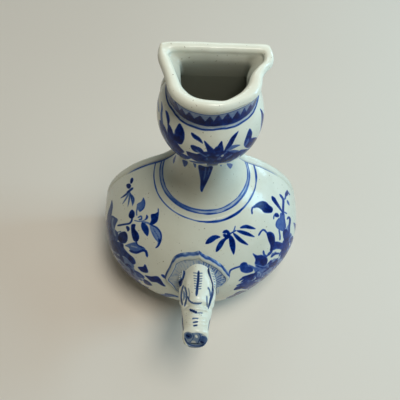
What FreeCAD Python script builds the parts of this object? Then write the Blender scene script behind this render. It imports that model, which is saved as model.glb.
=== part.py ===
"""Flat-backed blue and white kendi, with a bulb, a D-shaped mouth and an animal-head spout.

The pot is luted together from separately made clay parts. The front parts are thrown round
and cut off along one upright plane, and one flat slab closes all of them from foot to mouth.
Millimetres. +Z is up, the spout points towards -Y, and the flat back faces +Y.
The origin is on the axis of the round parts, in the plane that the pot stands on.
"""

import FreeCAD
import Part

import math
import os

Vector = FreeCAD.Vector
ORIGIN = Vector(0, 0, 0)
AXIS_X = Vector(1, 0, 0)
AXIS_Z = Vector(0, 0, 1)

# Flat back: the slab's front face is the plane on which the round parts are cut off
CUT_PLANE_Y = 7.6
SLAB_THICKNESS = 6.0
SLAB_EDGE_RADIUS = 3.2
BACK_Y = CUT_PLANE_Y + SLAB_THICKNESS

# Clay walls
WALL = 4.5
FLOOR_THICKNESS = 4.5
LIP_WALL = 4.6

# Foot
FOOT_RADIUS = 36.0
FOOT_RING_WIDTH = 5.0
FOOT_HEIGHT = 4.0
FOOT_EDGE_BEVEL = 0.8
FOOT_STEP = 1.6

# Body
BODY_RADIUS = 58.0
WIDEST_Z = 34.0
UNDERSIDE_ANGLE = 38.0
NECK_JOINT_RADIUS = 26.6
NECK_JOINT_Z = 77.6
SHOULDER_ANGLE = 28.0

# Neck and bulb
NECK_RADIUS = 13.0
NECK_WAIST_Z = 103.0
BULB_JOINT_Z = 107.5
BULB_FLARE_RADIUS = 15.0
BULB_FLARE_Z = 113.3
BULB_FLARE_ANGLE = 39.0
BULB_RADIUS = 23.6
BULB_Z = 131.3

# Mouth rim: a D in plan whose back corners flare past the bulb
RIM_JOINT_RADIUS = 18.7
RIM_JOINT_Z = 145.6
RIM_JOINT_ANGLE = 52.0
RIM_TOP_Z = 159.4
RIM_ROLL_Z = 153.6
RIM_FRONT_Y = -22.1
RIM_SIDE_HALF_WIDTH = 20.3
RIM_SIDE_Y = -3.4
RIM_BOW_HALF_WIDTH = 22.1
RIM_BOW_Y = 3.0
RIM_CORNER_HALF_WIDTH = 23.4
RIM_WAIST_INSET = 1.7
RIM_WALL = 6.4
RIM_BACK_WALL = 5.4
RIM_ROLL = 2.0
OPENING_CORNER_RADIUS = 2.6

# Spout: its axis leaves the shoulder at the root and rises towards the muzzle
SPOUT_TURN = -3.0
SPOUT_TILT = 18.0
ROOT_REACH = 48.8
ROOT_Z = 53.5
HEAD_LENGTH = 38.8
ROOT_HALF_WIDTH = 9.7
ROOT_HALF_HEIGHT = 11.0
BROW_AT = 9.0
BROW_HALF_WIDTH = 9.3
BROW_HALF_HEIGHT = 10.2
NOSE_AT = 20.0
NOSE_HALF_WIDTH = 7.3
NOSE_HALF_HEIGHT = 8.0
MUZZLE_AT = 32.0
MUZZLE_HALF_WIDTH = 5.9
MUZZLE_HALF_HEIGHT = 6.1
LIPS_AT = 37.0
LIPS_HALF_WIDTH = 5.4
LIPS_HALF_HEIGHT = 5.2
TIP_HALF_WIDTH = 4.4
TIP_HALF_HEIGHT = 4.3
LIPS_DROP = 1.0
BROW_NARROWING = 0.13
SECTION_POINTS = 8

# Water passage: a hole in the shoulder, and a bore that narrows to the lips
BORE_DROP = LIPS_DROP
WALL_HOLE_RADIUS = 5.0
BORE_ROOT_RADIUS = 5.6
BORE_TIP_RADIUS = 3.2
BORE_OVERRUN = 8.0

# Face, as places along the head's axis and above it
EYE_AT = 13.0
EYE_HEIGHT = 2.4
EYE_SIDE = 7.5
EYE_HALF_LENGTH = 4.2
EYE_HALF_HEIGHT = 2.0
EYE_SWELL = 1.5
NOSTRIL_AT = 34.2
NOSTRIL_HEIGHT = 3.8
NOSTRIL_SIDE = 3.3
NOSTRIL_RADIUS = 1.3
MOUTH_DEPTH = 3.6
MOUTH_GAPE = 0.9
MOUTH_OVERRUN = 1.0
EAR_AT = 6.0
EAR_HEIGHT = 4.8
EAR_SIDE = 7.6
EAR_LENGTH = 9.0
EAR_WIDTH = 4.4
EAR_SWELL = 2.3
EAR_SLOPE = 10.0

# Collar: a flange luted on the shoulder round the root of the head, with a tip and two pointed corners
COLLAR_THICKNESS = 1.8
COLLAR_TIP = 14.0
COLLAR_CORNER_HALF_WIDTH = 17.3
COLLAR_CORNER_DROP = 0.5
COLLAR_BOTTOM = -15.0
COLLAR_TOP_SWELL = 0.16
COLLAR_LOW_SWELL = 0.05

# A working size that only has to be larger than the pot
REACH = 3.0 * BODY_RADIUS

# How near to the flat back's plane an edge has to lie to count as one of its edges
EDGE_TOLERANCE = 0.01


def point(radius, height):
    """A point of a profile, which is drawn in the XZ plane."""
    return Vector(radius, 0, height)


def direction(angle):
    """A unit vector in the XZ plane, by its angle above +X."""
    return Vector(math.cos(math.radians(angle)), 0, math.sin(math.radians(angle)))


def stations(inset):
    """The profile's stations, bottom to top: place and direction of travel, moved into the clay by inset."""
    outer = [
        (point(FOOT_RADIUS + FOOT_STEP, FOOT_HEIGHT), UNDERSIDE_ANGLE),
        (point(BODY_RADIUS, WIDEST_Z), 90.0),
        (point(NECK_JOINT_RADIUS, NECK_JOINT_Z), 180.0 - SHOULDER_ANGLE),
        (point(NECK_RADIUS, NECK_WAIST_Z), 90.0),
        (point(BULB_FLARE_RADIUS, BULB_FLARE_Z), BULB_FLARE_ANGLE),
        (point(BULB_RADIUS, BULB_Z), 90.0),
        (point(RIM_JOINT_RADIUS, RIM_JOINT_Z), 180.0 - RIM_JOINT_ANGLE),
    ]
    return [(place + direction(angle + 90.0) * inset, angle) for place, angle in outer]


# How far each span keeps to the direction of its lower and of its upper station, as a share of its chord
SPAN_FULLNESS = [(0.34, 0.46), (0.20, 0.44), (0.30, 0.42), (0.42, 0.30), (0.26, 0.44), (0.40, 0.30)]


def span(lower, upper, fullness):
    """One smooth stretch of a profile between two stations."""
    chord = (upper[0] - lower[0]).Length
    first_handle = lower[0] + direction(lower[1]) * (chord * fullness[0])
    last_handle = upper[0] - direction(upper[1]) * (chord * fullness[1])
    curve = Part.BezierCurve()
    curve.setPoles([lower[0], first_handle, last_handle, upper[0]])
    return curve.toShape()


def spans(places):
    """The whole profile through its stations."""
    return [span(lower, upper, full) for lower, upper, full in zip(places, places[1:], SPAN_FULLNESS)]


def turned(places):
    """The solid of revolution under a profile given as stations."""
    bottom = places[0][0]
    top = places[-1][0]
    closing = [
        Part.makeLine(top, point(0, top.z)),
        Part.makeLine(point(0, top.z), point(0, bottom.z)),
        Part.makeLine(point(0, bottom.z), bottom),
    ]
    return Part.Face(Part.Wire(spans(places) + closing)).revolve(ORIGIN, AXIS_Z, 360)


def outer_form(outset):
    """The round outside of body, neck and bulb, swollen by outset."""
    return turned(stations(-outset))


def cavity():
    """The room inside body, neck and bulb, from the floor to the foot of the mouth rim."""
    places = stations(WALL)
    floor_radius = FOOT_RADIUS + FOOT_STEP - WALL
    places[0] = (point(floor_radius, FOOT_HEIGHT + FLOOR_THICKNESS), UNDERSIDE_ANGLE)
    places[-1] = (point(RIM_JOINT_RADIUS - LIP_WALL, RIM_JOINT_Z), 180.0 - RIM_JOINT_ANGLE)
    return turned(places)


def front_between(shape, z_from, z_to):
    """The stretch of a round part between two heights, cut off on the plane of the flat back."""
    corner = Vector(-REACH, -REACH, z_from)
    return shape.common(Part.makeBox(2 * REACH, REACH + CUT_PLANE_Y, z_to - z_from, corner)).Solids[0]


def aimed(shape):
    """Turns something drawn in the middle plane to the side that the spout points to."""
    result = shape.copy()
    result.rotate(ORIGIN, AXIS_Z, SPOUT_TURN)
    return result


def at_root(shape):
    """Moves something drawn on the head's own axes, muzzle towards -Y, to the root on the shoulder."""
    result = shape.copy()
    result.rotate(ORIGIN, AXIS_X, -SPOUT_TILT)
    result.translate(Vector(0, -ROOT_REACH, ROOT_Z))
    return result


def foot_ring():
    """A low ring under the body, open at the back where the slab stands."""
    bevel = Part.makeCone(FOOT_RADIUS - FOOT_EDGE_BEVEL, FOOT_RADIUS, FOOT_EDGE_BEVEL)
    upright = Part.makeCylinder(FOOT_RADIUS, FOOT_HEIGHT - FOOT_EDGE_BEVEL, Vector(0, 0, FOOT_EDGE_BEVEL))
    hollow = Part.makeCylinder(FOOT_RADIUS - FOOT_RING_WIDTH, FOOT_HEIGHT)
    return front_between(bevel.fuse(upright).cut(hollow), 0, FOOT_HEIGHT)


def lower_body(shell):
    """The bowl below the widest girth, with the floor."""
    return front_between(shell, FOOT_HEIGHT, WIDEST_Z)


def upper_body(shell):
    """The shoulder, pierced where the spout is luted on."""
    half_length = 4 * WALL
    start = Vector(0, half_length, -BORE_DROP)
    hole = Part.makeCylinder(WALL_HOLE_RADIUS, 2 * half_length, start, Vector(0, -1, 0))
    return front_between(shell, WIDEST_Z, NECK_JOINT_Z).cut(aimed(at_root(hole))).Solids[0]


def neck(shell):
    """The drawn-in neck between shoulder and bulb."""
    return front_between(shell, NECK_JOINT_Z, BULB_JOINT_Z)


def bulb(shell):
    """The round bulb that the rim stands on."""
    return front_between(shell, BULB_JOINT_Z, RIM_JOINT_Z)


def d_wire(front_y, side, bow, corner, back_y, corner_radius, z):
    """A D in plan, from its front depth, three half widths from front to back, and its flat back."""
    cut_corner = corner_radius * (1 - math.sqrt(0.5))

    def flank(sign):
        """The side and the rounded back corner on one hand."""
        start = Vector(sign * side, RIM_SIDE_Y, z)
        turn = Vector(sign * corner, back_y - corner_radius, z)
        half_turn = Vector(sign * (corner - cut_corner), back_y - cut_corner, z)
        end = Vector(sign * (corner - corner_radius), back_y, z)
        return [
            Part.Arc(start, Vector(sign * bow, RIM_BOW_Y, z), turn).toShape(),
            Part.Arc(turn, half_turn, end).toShape(),
        ]

    left = Vector(-side, RIM_SIDE_Y, z)
    right = Vector(side, RIM_SIDE_Y, z)
    front = Part.Arc(left, Vector(0, front_y, z), right).toShape()
    half_back = corner - corner_radius
    back = Part.makeLine(Vector(half_back, back_y, z), Vector(-half_back, back_y, z))
    return Part.Wire([front] + flank(1) + [back] + flank(-1)[::-1])


def round_d(radius, back_y, corner_radius, z):
    """The D that a round part of this radius makes with the slab behind it."""
    half_widths = [math.sqrt(radius**2 - y**2) for y in (RIM_SIDE_Y, RIM_BOW_Y, CUT_PLANE_Y)]
    return d_wire(-radius, *half_widths, back_y, corner_radius, z)


def rim_d(inset, back_inset, corner_radius, z):
    """The lip's own D, drawn in by inset round its front and sides and by back_inset at its back."""
    return d_wire(
        RIM_FRONT_Y + inset,
        RIM_SIDE_HALF_WIDTH - inset,
        RIM_BOW_HALF_WIDTH - inset,
        RIM_CORNER_HALF_WIDTH - inset,
        BACK_Y - back_inset,
        corner_radius,
        z,
    )


def rolled_edge():
    """The lip's rounded edge as steps of a quarter circle: how far in, and how far below the top."""
    turns = [math.radians(angle) for angle in (0.0, 30.0, 60.0, 90.0)]
    return [(RIM_ROLL * (1 - math.cos(t)), RIM_ROLL * (1 - math.sin(t))) for t in turns]


def mouth_rim():
    """The thick D-shaped lip with flared back corners, standing on the bulb and on the slab."""
    outside = [
        round_d(RIM_JOINT_RADIUS, BACK_Y, SLAB_EDGE_RADIUS, RIM_JOINT_Z),
        rim_d(RIM_WAIST_INSET, 0.0, SLAB_EDGE_RADIUS, RIM_ROLL_Z),
    ]
    opening_radius = RIM_JOINT_RADIUS - LIP_WALL
    inside = [round_d(opening_radius, CUT_PLANE_Y, OPENING_CORNER_RADIUS, RIM_JOINT_Z)]
    for inset, drop in rolled_edge():
        z = RIM_TOP_Z - drop
        outside.append(rim_d(inset, inset, SLAB_EDGE_RADIUS - inset, z))
        inside.append(rim_d(RIM_WALL - inset, RIM_BACK_WALL - inset, OPENING_CORNER_RADIUS + inset, z))
    return Part.makeLoft(outside, True, True).cut(Part.makeLoft(inside, True, True)).Solids[0]


def silhouette_stations():
    """The profile's stations as they show on the cut plane, which lies behind the axis."""
    places = []
    for place, angle in stations(0.0):
        half_width = math.sqrt(place.x**2 - CUT_PLANE_Y**2)
        rise = math.sin(math.radians(angle))
        run = math.cos(math.radians(angle)) * place.x / half_width
        places.append((point(half_width, place.z), math.degrees(math.atan2(rise, run))))
    return places


def back_slab():
    """The flat slab that closes foot, body, neck and bulb in one piece."""
    places = silhouette_stations()
    right = spans(places)
    left = [edge.mirror(ORIGIN, AXIS_X) for edge in right]
    bottom = places[0][0]
    top = places[-1][0]
    floor_line = Part.makeLine(Vector(-bottom.x, 0, bottom.z), bottom)
    top_line = Part.makeLine(top, Vector(-top.x, 0, top.z))
    outline = Part.Wire([floor_line] + right + [top_line] + left[::-1])
    outline.translate(Vector(0, CUT_PLANE_Y, 0))
    plate = Part.Face(outline).extrude(Vector(0, SLAB_THICKNESS, 0))
    side_edges = [
        edge
        for edge in plate.Edges
        if edge.BoundBox.YMin > BACK_Y - EDGE_TOLERANCE and edge.BoundBox.ZLength > EDGE_TOLERANCE
    ]
    plate = plate.makeFillet(SLAB_EDGE_RADIUS, side_edges)
    half_foot = math.sqrt(FOOT_RADIUS**2 - CUT_PLANE_Y**2)
    corner = Vector(-half_foot, CUT_PLANE_Y, 0)
    foot = Part.makeBox(2 * half_foot, SLAB_THICKNESS, FOOT_HEIGHT, corner)
    return plate.fuse(foot).removeSplitter().Solids[0]


def collar_outline():
    """The collar's edge in the XZ plane, as seen from the front: a tip, two side corners and a bottom."""
    tip = Vector(0, 0, ROOT_Z + COLLAR_TIP)
    bottom = Vector(0, 0, ROOT_Z + COLLAR_BOTTOM)

    def bowed(start, end, sign, swell):
        """An arc that stands out from its chord by the share swell."""
        chord = end - start
        outward = Vector(-chord.z, 0, chord.x) * (sign * swell)
        return Part.Arc(start, (start + end) * 0.5 + outward, end).toShape()

    def half(sign):
        """One hand of the edge, from the tip over the corner to the bottom."""
        corner = Vector(sign * COLLAR_CORNER_HALF_WIDTH, 0, ROOT_Z - COLLAR_CORNER_DROP)
        return [
            bowed(tip, corner, sign, COLLAR_TOP_SWELL),
            bowed(corner, bottom, sign, COLLAR_LOW_SWELL),
        ]

    return Part.Wire(half(1) + half(-1)[::-1])


def bore():
    """The tapered bore of the spout on the head's axes; it runs on past the root and past the lips."""
    taper = (BORE_ROOT_RADIUS - BORE_TIP_RADIUS) / HEAD_LENGTH * BORE_OVERRUN
    return Part.makeCone(
        BORE_ROOT_RADIUS + taper,
        BORE_TIP_RADIUS - taper,
        HEAD_LENGTH + 2 * BORE_OVERRUN,
        Vector(0, BORE_OVERRUN, -BORE_DROP),
        Vector(0, -1, 0),
    )


def spout_collar(outer, swollen):
    """The pointed flange on the shoulder, equally thick all over, with the bore through it."""
    outline = Part.Face(collar_outline())
    outline.translate(Vector(0, -REACH, 0))
    prism = outline.extrude(Vector(0, REACH, 0))
    flange = prism.common(swollen).cut(outer).cut(at_root(bore()))
    return aimed(flange.Solids[0])


def head_section(distance, half_width, half_height, drop, brow):
    """An egg-shaped section across the head, narrowed towards its top by the share brow."""
    points = []
    for step in range(SECTION_POINTS):
        turn = 2 * math.pi * step / SECTION_POINTS
        side = half_width * math.cos(turn) * (1 - brow * max(0.0, math.sin(turn)))
        points.append(Vector(side, -distance, half_height * math.sin(turn) - drop))
    curve = Part.BSplineCurve()
    curve.interpolate(Points=points, PeriodicFlag=True)
    return Part.Wire(curve.toShape())


def head_form():
    """The long-muzzled head as one smooth form that reaches back into the body."""
    sections = [
        head_section(-BROW_AT, ROOT_HALF_WIDTH, ROOT_HALF_HEIGHT, 0.0, 0.0),
        head_section(0.0, ROOT_HALF_WIDTH, ROOT_HALF_HEIGHT, 0.0, 0.0),
        head_section(BROW_AT, BROW_HALF_WIDTH, BROW_HALF_HEIGHT, 0.0, BROW_NARROWING),
        head_section(NOSE_AT, NOSE_HALF_WIDTH, NOSE_HALF_HEIGHT, 0.0, BROW_NARROWING),
        head_section(MUZZLE_AT, MUZZLE_HALF_WIDTH, MUZZLE_HALF_HEIGHT, 0.0, BROW_NARROWING),
        head_section(LIPS_AT, LIPS_HALF_WIDTH, LIPS_HALF_HEIGHT, LIPS_DROP, 0.0),
        head_section(HEAD_LENGTH, TIP_HALF_WIDTH, TIP_HALF_HEIGHT, LIPS_DROP, 0.0),
    ]
    return Part.makeLoft(sections, True, False)


def bead(distance, side, height, half_length, swell, half_height):
    """An ellipsoid on the head's axes."""
    matrix = FreeCAD.Matrix()
    matrix.scale(Vector(swell, half_length, half_height))
    matrix.move(Vector(side, -distance, height))
    return Part.makeSphere(1.0).transformGeometry(matrix)


def mouth_slit():
    """The cut between the lips, which runs back from the tip on both sides of the bore."""
    width = 2 * MUZZLE_HALF_WIDTH
    corner = Vector(-width / 2, -HEAD_LENGTH - MOUTH_OVERRUN, -BORE_DROP - MOUTH_GAPE / 2)
    return Part.makeBox(width, MOUTH_DEPTH + MOUTH_OVERRUN, MOUTH_GAPE, corner)


def one_hand(shape, sign):
    """The part of something on the head's axes that lies on one side of the mould line."""
    corner = Vector(min(0, sign) * REACH, -REACH, -REACH)
    return shape.common(Part.makeBox(REACH, 2 * REACH, 2 * REACH, corner))


def head_half(sign, swollen):
    """One half of the press-moulded head, with its eye and nostril, seated on the collar."""
    eye = bead(EYE_AT, sign * EYE_SIDE, EYE_HEIGHT, EYE_HALF_LENGTH, EYE_SWELL, EYE_HALF_HEIGHT)
    nostril = Part.makeSphere(NOSTRIL_RADIUS, Vector(sign * NOSTRIL_SIDE, -NOSTRIL_AT, NOSTRIL_HEIGHT))
    solid = one_hand(head_form(), sign).fuse(eye).cut(nostril).cut(mouth_slit()).cut(bore())
    return aimed(at_root(solid).cut(swollen).Solids[0])


def ear(sign, swollen):
    """A leaf-shaped ear laid along the side of the head, tip towards the body."""
    half_length = EAR_LENGTH / 2
    tip = Vector(0, half_length, 0)
    base = Vector(0, -half_length, 0)
    upper = Part.Arc(tip, Vector(0, 0, EAR_WIDTH / 2), base).toShape()
    lower = Part.Arc(base, Vector(0, 0, -EAR_WIDTH / 2), tip).toShape()
    leaf = Part.Face(Part.Wire([upper, lower])).extrude(Vector(sign * 2 * ROOT_HALF_WIDTH, 0, 0))
    leaf.rotate(ORIGIN, AXIS_X, EAR_SLOPE)
    leaf.translate(Vector(0, -EAR_AT, EAR_HEIGHT))
    crown = bead(EAR_AT, sign * EAR_SIDE, EAR_HEIGHT, EAR_LENGTH, EAR_SWELL, EAR_WIDTH)
    return aimed(at_root(leaf.common(crown).cut(head_form())).cut(swollen).Solids[0])


def main():
    """Builds every sub-part and writes each to its own file."""
    outer = outer_form(0.0)
    swollen = outer_form(COLLAR_THICKNESS)
    shell = outer.cut(cavity())
    parts = {
        "foot_ring": foot_ring(),
        "lower_body": lower_body(shell),
        "upper_body": upper_body(shell),
        "neck": neck(shell),
        "bulb": bulb(shell),
        "mouth_rim": mouth_rim(),
        "back_slab": back_slab(),
        "spout_collar": spout_collar(outer, swollen),
        "head_left": head_half(-1, swollen),
        "head_right": head_half(1, swollen),
        "ear_left": ear(-1, swollen),
        "ear_right": ear(1, swollen),
    }
    os.makedirs("parts", exist_ok=True)
    for name, shape in parts.items():
        shape.exportStep("parts/" + name + ".step")
        print(name, "valid" if shape.isValid() else "not valid", len(shape.Solids), "solid")


main()
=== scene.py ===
import math

import bmesh
import bpy
import numpy as np
from mathutils import Matrix, Vector


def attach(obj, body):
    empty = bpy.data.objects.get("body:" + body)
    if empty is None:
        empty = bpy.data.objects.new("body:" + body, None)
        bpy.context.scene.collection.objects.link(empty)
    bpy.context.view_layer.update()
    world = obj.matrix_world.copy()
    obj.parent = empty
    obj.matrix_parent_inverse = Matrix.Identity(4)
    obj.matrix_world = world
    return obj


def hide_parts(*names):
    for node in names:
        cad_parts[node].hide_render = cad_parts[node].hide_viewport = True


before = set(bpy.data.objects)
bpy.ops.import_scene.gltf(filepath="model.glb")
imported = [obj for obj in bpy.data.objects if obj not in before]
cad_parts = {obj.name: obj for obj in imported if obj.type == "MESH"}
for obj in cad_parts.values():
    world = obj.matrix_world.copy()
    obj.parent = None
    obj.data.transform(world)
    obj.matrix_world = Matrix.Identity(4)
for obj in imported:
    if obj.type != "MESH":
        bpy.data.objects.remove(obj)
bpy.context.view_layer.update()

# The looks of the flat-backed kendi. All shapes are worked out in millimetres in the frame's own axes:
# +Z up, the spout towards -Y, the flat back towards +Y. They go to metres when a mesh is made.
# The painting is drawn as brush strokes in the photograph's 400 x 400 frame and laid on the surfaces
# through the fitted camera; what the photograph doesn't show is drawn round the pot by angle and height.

MM = 0.001

# The photograph's camera
CAMERA_AT = np.array((-11.7, -135.4, 306.7))
CAMERA_ELEVATION = math.radians(62.3)
CAMERA_AZIMUTH = math.radians(-4.4)
CAMERA_ROLL = math.radians(4.9)
LENS = 45.0
SENSOR = 36.0
FRAME_SIDE = 400.0
FOCAL = LENS / SENSOR * FRAME_SIDE

# The pot's main sizes, as in the CAD
CUT_Y = 7.6
BACK_Y = 13.6
SLAB_EDGE = 3.2
WALL = 4.5
FOOT_TOP = 4.0
FLOOR_TOP = 8.5
FLOOR_EYE = 12.0
FOOT_HALF = 35.2
WIDEST_Z = 34.0
NECK_JOINT_Z = 77.6
BULB_JOINT_Z = 107.5
RIM_JOINT_Z = 145.6
RIM_JOINT_R = 18.7
THROAT_R = 14.1
TOP_Z = 159.4
STATIONS = (
    (37.6, 4.0, 38.0), (58.0, 34.0, 90.0), (26.6, 77.6, 152.0), (13.0, 103.0, 90.0),
    (15.0, 113.3, 39.0), (23.6, 131.3, 90.0), (18.7, 145.6, 128.0),
)
FULLNESS = ((0.34, 0.46), (0.20, 0.44), (0.30, 0.42), (0.42, 0.30), (0.26, 0.44), (0.40, 0.30))

# The spout's root and direction, as in the CAD
SPOUT_TURN = math.radians(-3.0)
SPOUT_TILT = math.radians(18.0)
ROOT_REACH = 48.8
ROOT_Z = 53.5
BORE_DROP = 1.0


def eased(t):
    """0 to 1 with soft ends."""
    t = np.clip(t, 0.0, 1.0)
    return t * t * (3 - 2 * t)


def hump(t, centre, reach):
    """A soft bump that is 1 at centre and 0 from reach on."""
    return eased(1 - np.abs(t - centre) / reach)


def swell(points, wavelength, seed):
    """A smooth random field of about -1 to 1 in space, the same each run."""
    rng = np.random.default_rng(seed)
    total = np.zeros(len(points))
    waves = 14
    for _ in range(waves):
        way = rng.normal(size=3)
        way /= np.linalg.norm(way)
        length = wavelength * rng.uniform(0.7, 1.6)
        total += np.sin(points @ way * (2 * math.pi / length) + rng.uniform(0, 2 * math.pi))
    return total / math.sqrt(waves)


def curve_through(controls, steps, closed=False):
    """Catmull-Rom through control points of any width, with steps samples to each span."""
    c = np.asarray(controls, float)
    n = len(c)
    spans = n if closed else n - 1
    t = np.arange(steps) / steps
    out = []
    for i in range(spans):
        if closed:
            p0, p1, p2, p3 = (c[(i + k) % n] for k in (-1, 0, 1, 2))
        else:
            p0, p1, p2, p3 = c[max(i - 1, 0)], c[i], c[i + 1], c[min(i + 2, n - 1)]
        u = t.reshape((-1,) + (1,) * (c.ndim - 1))
        out.append(
            0.5 * (2 * p1 + (p2 - p0) * u + (2 * p0 - 5 * p1 + 4 * p2 - p3) * u**2
                   + (3 * p1 - p0 - 3 * p2 + p3) * u**3)
        )
    if not closed:
        out.append(c[-1:])
    return np.concatenate(out)


# ---- camera ----

def camera_axes():
    """Right, up and back of the photograph's camera, roll included."""
    e, a, r = CAMERA_ELEVATION, CAMERA_AZIMUTH, CAMERA_ROLL
    back = np.array((math.sin(a) * math.cos(e), -math.cos(a) * math.cos(e), math.sin(e)))
    level = np.array((math.cos(a), math.sin(a), 0.0))
    up = np.cross(back, level)
    return level * math.cos(r) + up * math.sin(r), up * math.cos(r) - level * math.sin(r), back


CAM_RIGHT, CAM_UP, CAM_BACK = camera_axes()


def to_photo(points):
    """Where points fall in the photograph's frame."""
    q = points - CAMERA_AT
    depth = -(q @ CAM_BACK)
    x = FRAME_SIDE / 2 + FOCAL * (q @ CAM_RIGHT) / depth
    y = FRAME_SIDE / 2 - FOCAL * (q @ CAM_UP) / depth
    return x, y


def photo_ray(x, y):
    """The direction in which the photograph looks through one of its points."""
    way = CAM_RIGHT * (x - FRAME_SIDE / 2) - CAM_UP * (y - FRAME_SIDE / 2) - CAM_BACK * FOCAL
    return way / np.linalg.norm(way)


def make_camera():
    cam = bpy.data.objects.new("photo_camera", bpy.data.cameras.new("photo_camera"))
    bpy.context.scene.collection.objects.link(cam)
    m = Matrix((CAM_RIGHT, CAM_UP, CAM_BACK)).transposed().to_4x4()
    m.translation = Vector(CAMERA_AT * MM)
    cam.matrix_world = m
    cam.data.lens = LENS
    cam.data.sensor_width = SENSOR
    cam.data.clip_start = 0.01
    bpy.context.scene.camera = cam


# ---- the thrown profile ----

def profile(inset):
    """Dense points (radius, height) of the round outside, moved into the clay by inset, bottom to top."""
    places = []
    for r, z, angle in STATIONS:
        a = math.radians(angle)
        places.append((np.array((r - math.sin(a) * inset, z + math.cos(a) * inset)), a))
    if inset == WALL:
        places[0] = (np.array((STATIONS[0][0] - WALL, FLOOR_TOP)), places[0][1])
        places[-1] = (np.array((THROAT_R, RIM_JOINT_Z)), places[-1][1])
    t = np.linspace(0, 1, 160)[:, None]
    out = []
    for (p0, a0), (p3, a3), (f0, f3) in zip(places, places[1:], FULLNESS):
        chord = np.linalg.norm(p3 - p0)
        p1 = p0 + np.array((math.cos(a0), math.sin(a0))) * chord * f0
        p2 = p3 - np.array((math.cos(a3), math.sin(a3))) * chord * f3
        s = (1 - t) ** 3 * p0 + 3 * (1 - t) ** 2 * t * p1 + 3 * (1 - t) * t**2 * p2 + t**3 * p3
        out.append(s if len(out) == 0 else s[1:])
    return np.concatenate(out)


OUTER = profile(0.0)
INNER = profile(WALL)


def along(line):
    """Running length at each point of a polyline."""
    return np.concatenate(((0.0,), np.cumsum(np.linalg.norm(np.diff(line, axis=0), axis=1))))


def stretch(line, z_from, z_to, spacing):
    """Evenly spaced points of a profile between two heights."""
    length = along(line)
    ends = np.interp((z_from, z_to), line[:, 1], length)
    count = max(2, int(round((ends[1] - ends[0]) / spacing)) + 1)
    at = np.linspace(*ends, count)
    return np.stack([np.interp(at, length, line[:, 0]), np.interp(at, length, line[:, 1])], 1)


def side_of(line):
    """The way that each point of an outline faces, out of the clay."""
    tangent = np.gradient(line, axis=0)
    tangent /= np.linalg.norm(tangent, axis=1)[:, None]
    return np.stack([tangent[:, 1], -tangent[:, 0]], 1)


def radius_at(z, swollen):
    """Radius of the round outside at a height, swollen along its normal."""
    line = OUTER + side_of(OUTER) * swollen
    return np.interp(z, line[:, 1], line[:, 0])


def belly(points):
    """The thrown body isn't quite true: its front sags to the left and is pressed in a little low down."""
    p = points.copy()
    z = p[:, 2]
    above_foot = eased((z - FOOT_TOP) / 14)
    front = eased((-p[:, 1] - 10) / 35)
    p[:, 0] -= 1.8 * front * eased((60 - z) / 30) * above_foot
    p[:, 1] += 2.1 * eased((-p[:, 1] - 18) / 35) * eased((52 - z) / 20) * above_foot
    out = p[:, :2] / np.maximum(np.linalg.norm(p[:, :2], axis=1), 1.0)[:, None]
    give = 0.22 * (swell(points, 46.0, 3) - 1.0) * above_foot
    p[:, :2] += out * (give * eased((CUT_Y - points[:, 1]) / 6))[:, None]
    return p


# ---- meshes ----

def new_piece(name, points, quads, polygons, uv, material, nodes=()):
    """A closed mesh from millimetre points, quads and larger polygons. It stands for the CAD nodes."""
    mesh = bpy.data.meshes.new(name)
    corners = np.concatenate([np.ravel(quads), *polygons]).astype(np.int32)
    sizes = np.concatenate([np.full(len(quads), 4), [len(g) for g in polygons]]).astype(np.int32)
    starts = np.concatenate(((0,), np.cumsum(sizes)[:-1])).astype(np.int32)
    mesh.vertices.add(len(points))
    mesh.vertices.foreach_set("co", (points * MM).astype(np.float32).ravel())
    mesh.loops.add(len(corners))
    mesh.loops.foreach_set("vertex_index", corners)
    mesh.polygons.add(len(sizes))
    mesh.polygons.foreach_set("loop_start", starts)
    mesh.update(calc_edges=True)
    layer = mesh.uv_layers.new(name="OFBake")
    layer.uv.foreach_set("vector", np.clip(uv, 0.0, 1.0).astype(np.float32).ravel())
    bm = bmesh.new()
    bm.from_mesh(mesh)
    bmesh.ops.recalc_face_normals(bm, faces=bm.faces)
    bm.to_mesh(mesh)
    bm.free()
    mesh.validate()
    mesh.shade_smooth()
    mesh.set_sharp_from_angle(angle=math.radians(40))
    obj = bpy.data.objects.new(name, mesh)
    bpy.context.scene.collection.objects.link(obj)
    mesh.materials.append(material)
    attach(obj, "root")
    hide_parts(*(nodes or (name,)))
    return obj


def read_points(obj):
    co = np.empty(len(obj.data.vertices) * 3, np.float32)
    obj.data.vertices.foreach_get("co", co)
    return co.reshape(-1, 3).astype(float) / MM


def read_normals(obj):
    out = np.empty(len(obj.data.vertices) * 3, np.float32)
    obj.data.vertex_normals.foreach_get("vector", out)
    return out.reshape(-1, 3).astype(float)


def write_ink(obj, ink, bare=0.0, thin=0.0, white_and_lit=0.0):
    """Keeps the painting on the mesh: ink, bare clay, grey (smoky ink, and painted shade inside the pot)
    and whiter glaze (partly painted light on the bulb, rim and head).
    """
    data = np.zeros((len(obj.data.vertices), 4), np.float32)
    for k, amount in enumerate((ink, bare, thin, white_and_lit)):
        data[:, k] = amount
    layer = obj.data.color_attributes.new("paint", "FLOAT_COLOR", "POINT")
    layer.data.foreach_set("color", data.ravel())


def ring_grid(rows, columns, wrap_rows, wrap_columns):
    """Quads of a grid whose points run row by row."""
    r = np.arange(rows if wrap_rows else rows - 1)
    c = np.arange(columns if wrap_columns else columns - 1)
    r, c = (g.ravel() for g in np.meshgrid(r, c, indexing="ij"))
    r1, c1 = (r + 1) % rows, (c + 1) % columns
    quads = np.stack([r * columns + c, r * columns + c1, r1 * columns + c1, r1 * columns + c], 1)
    return quads, r, c


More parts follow.
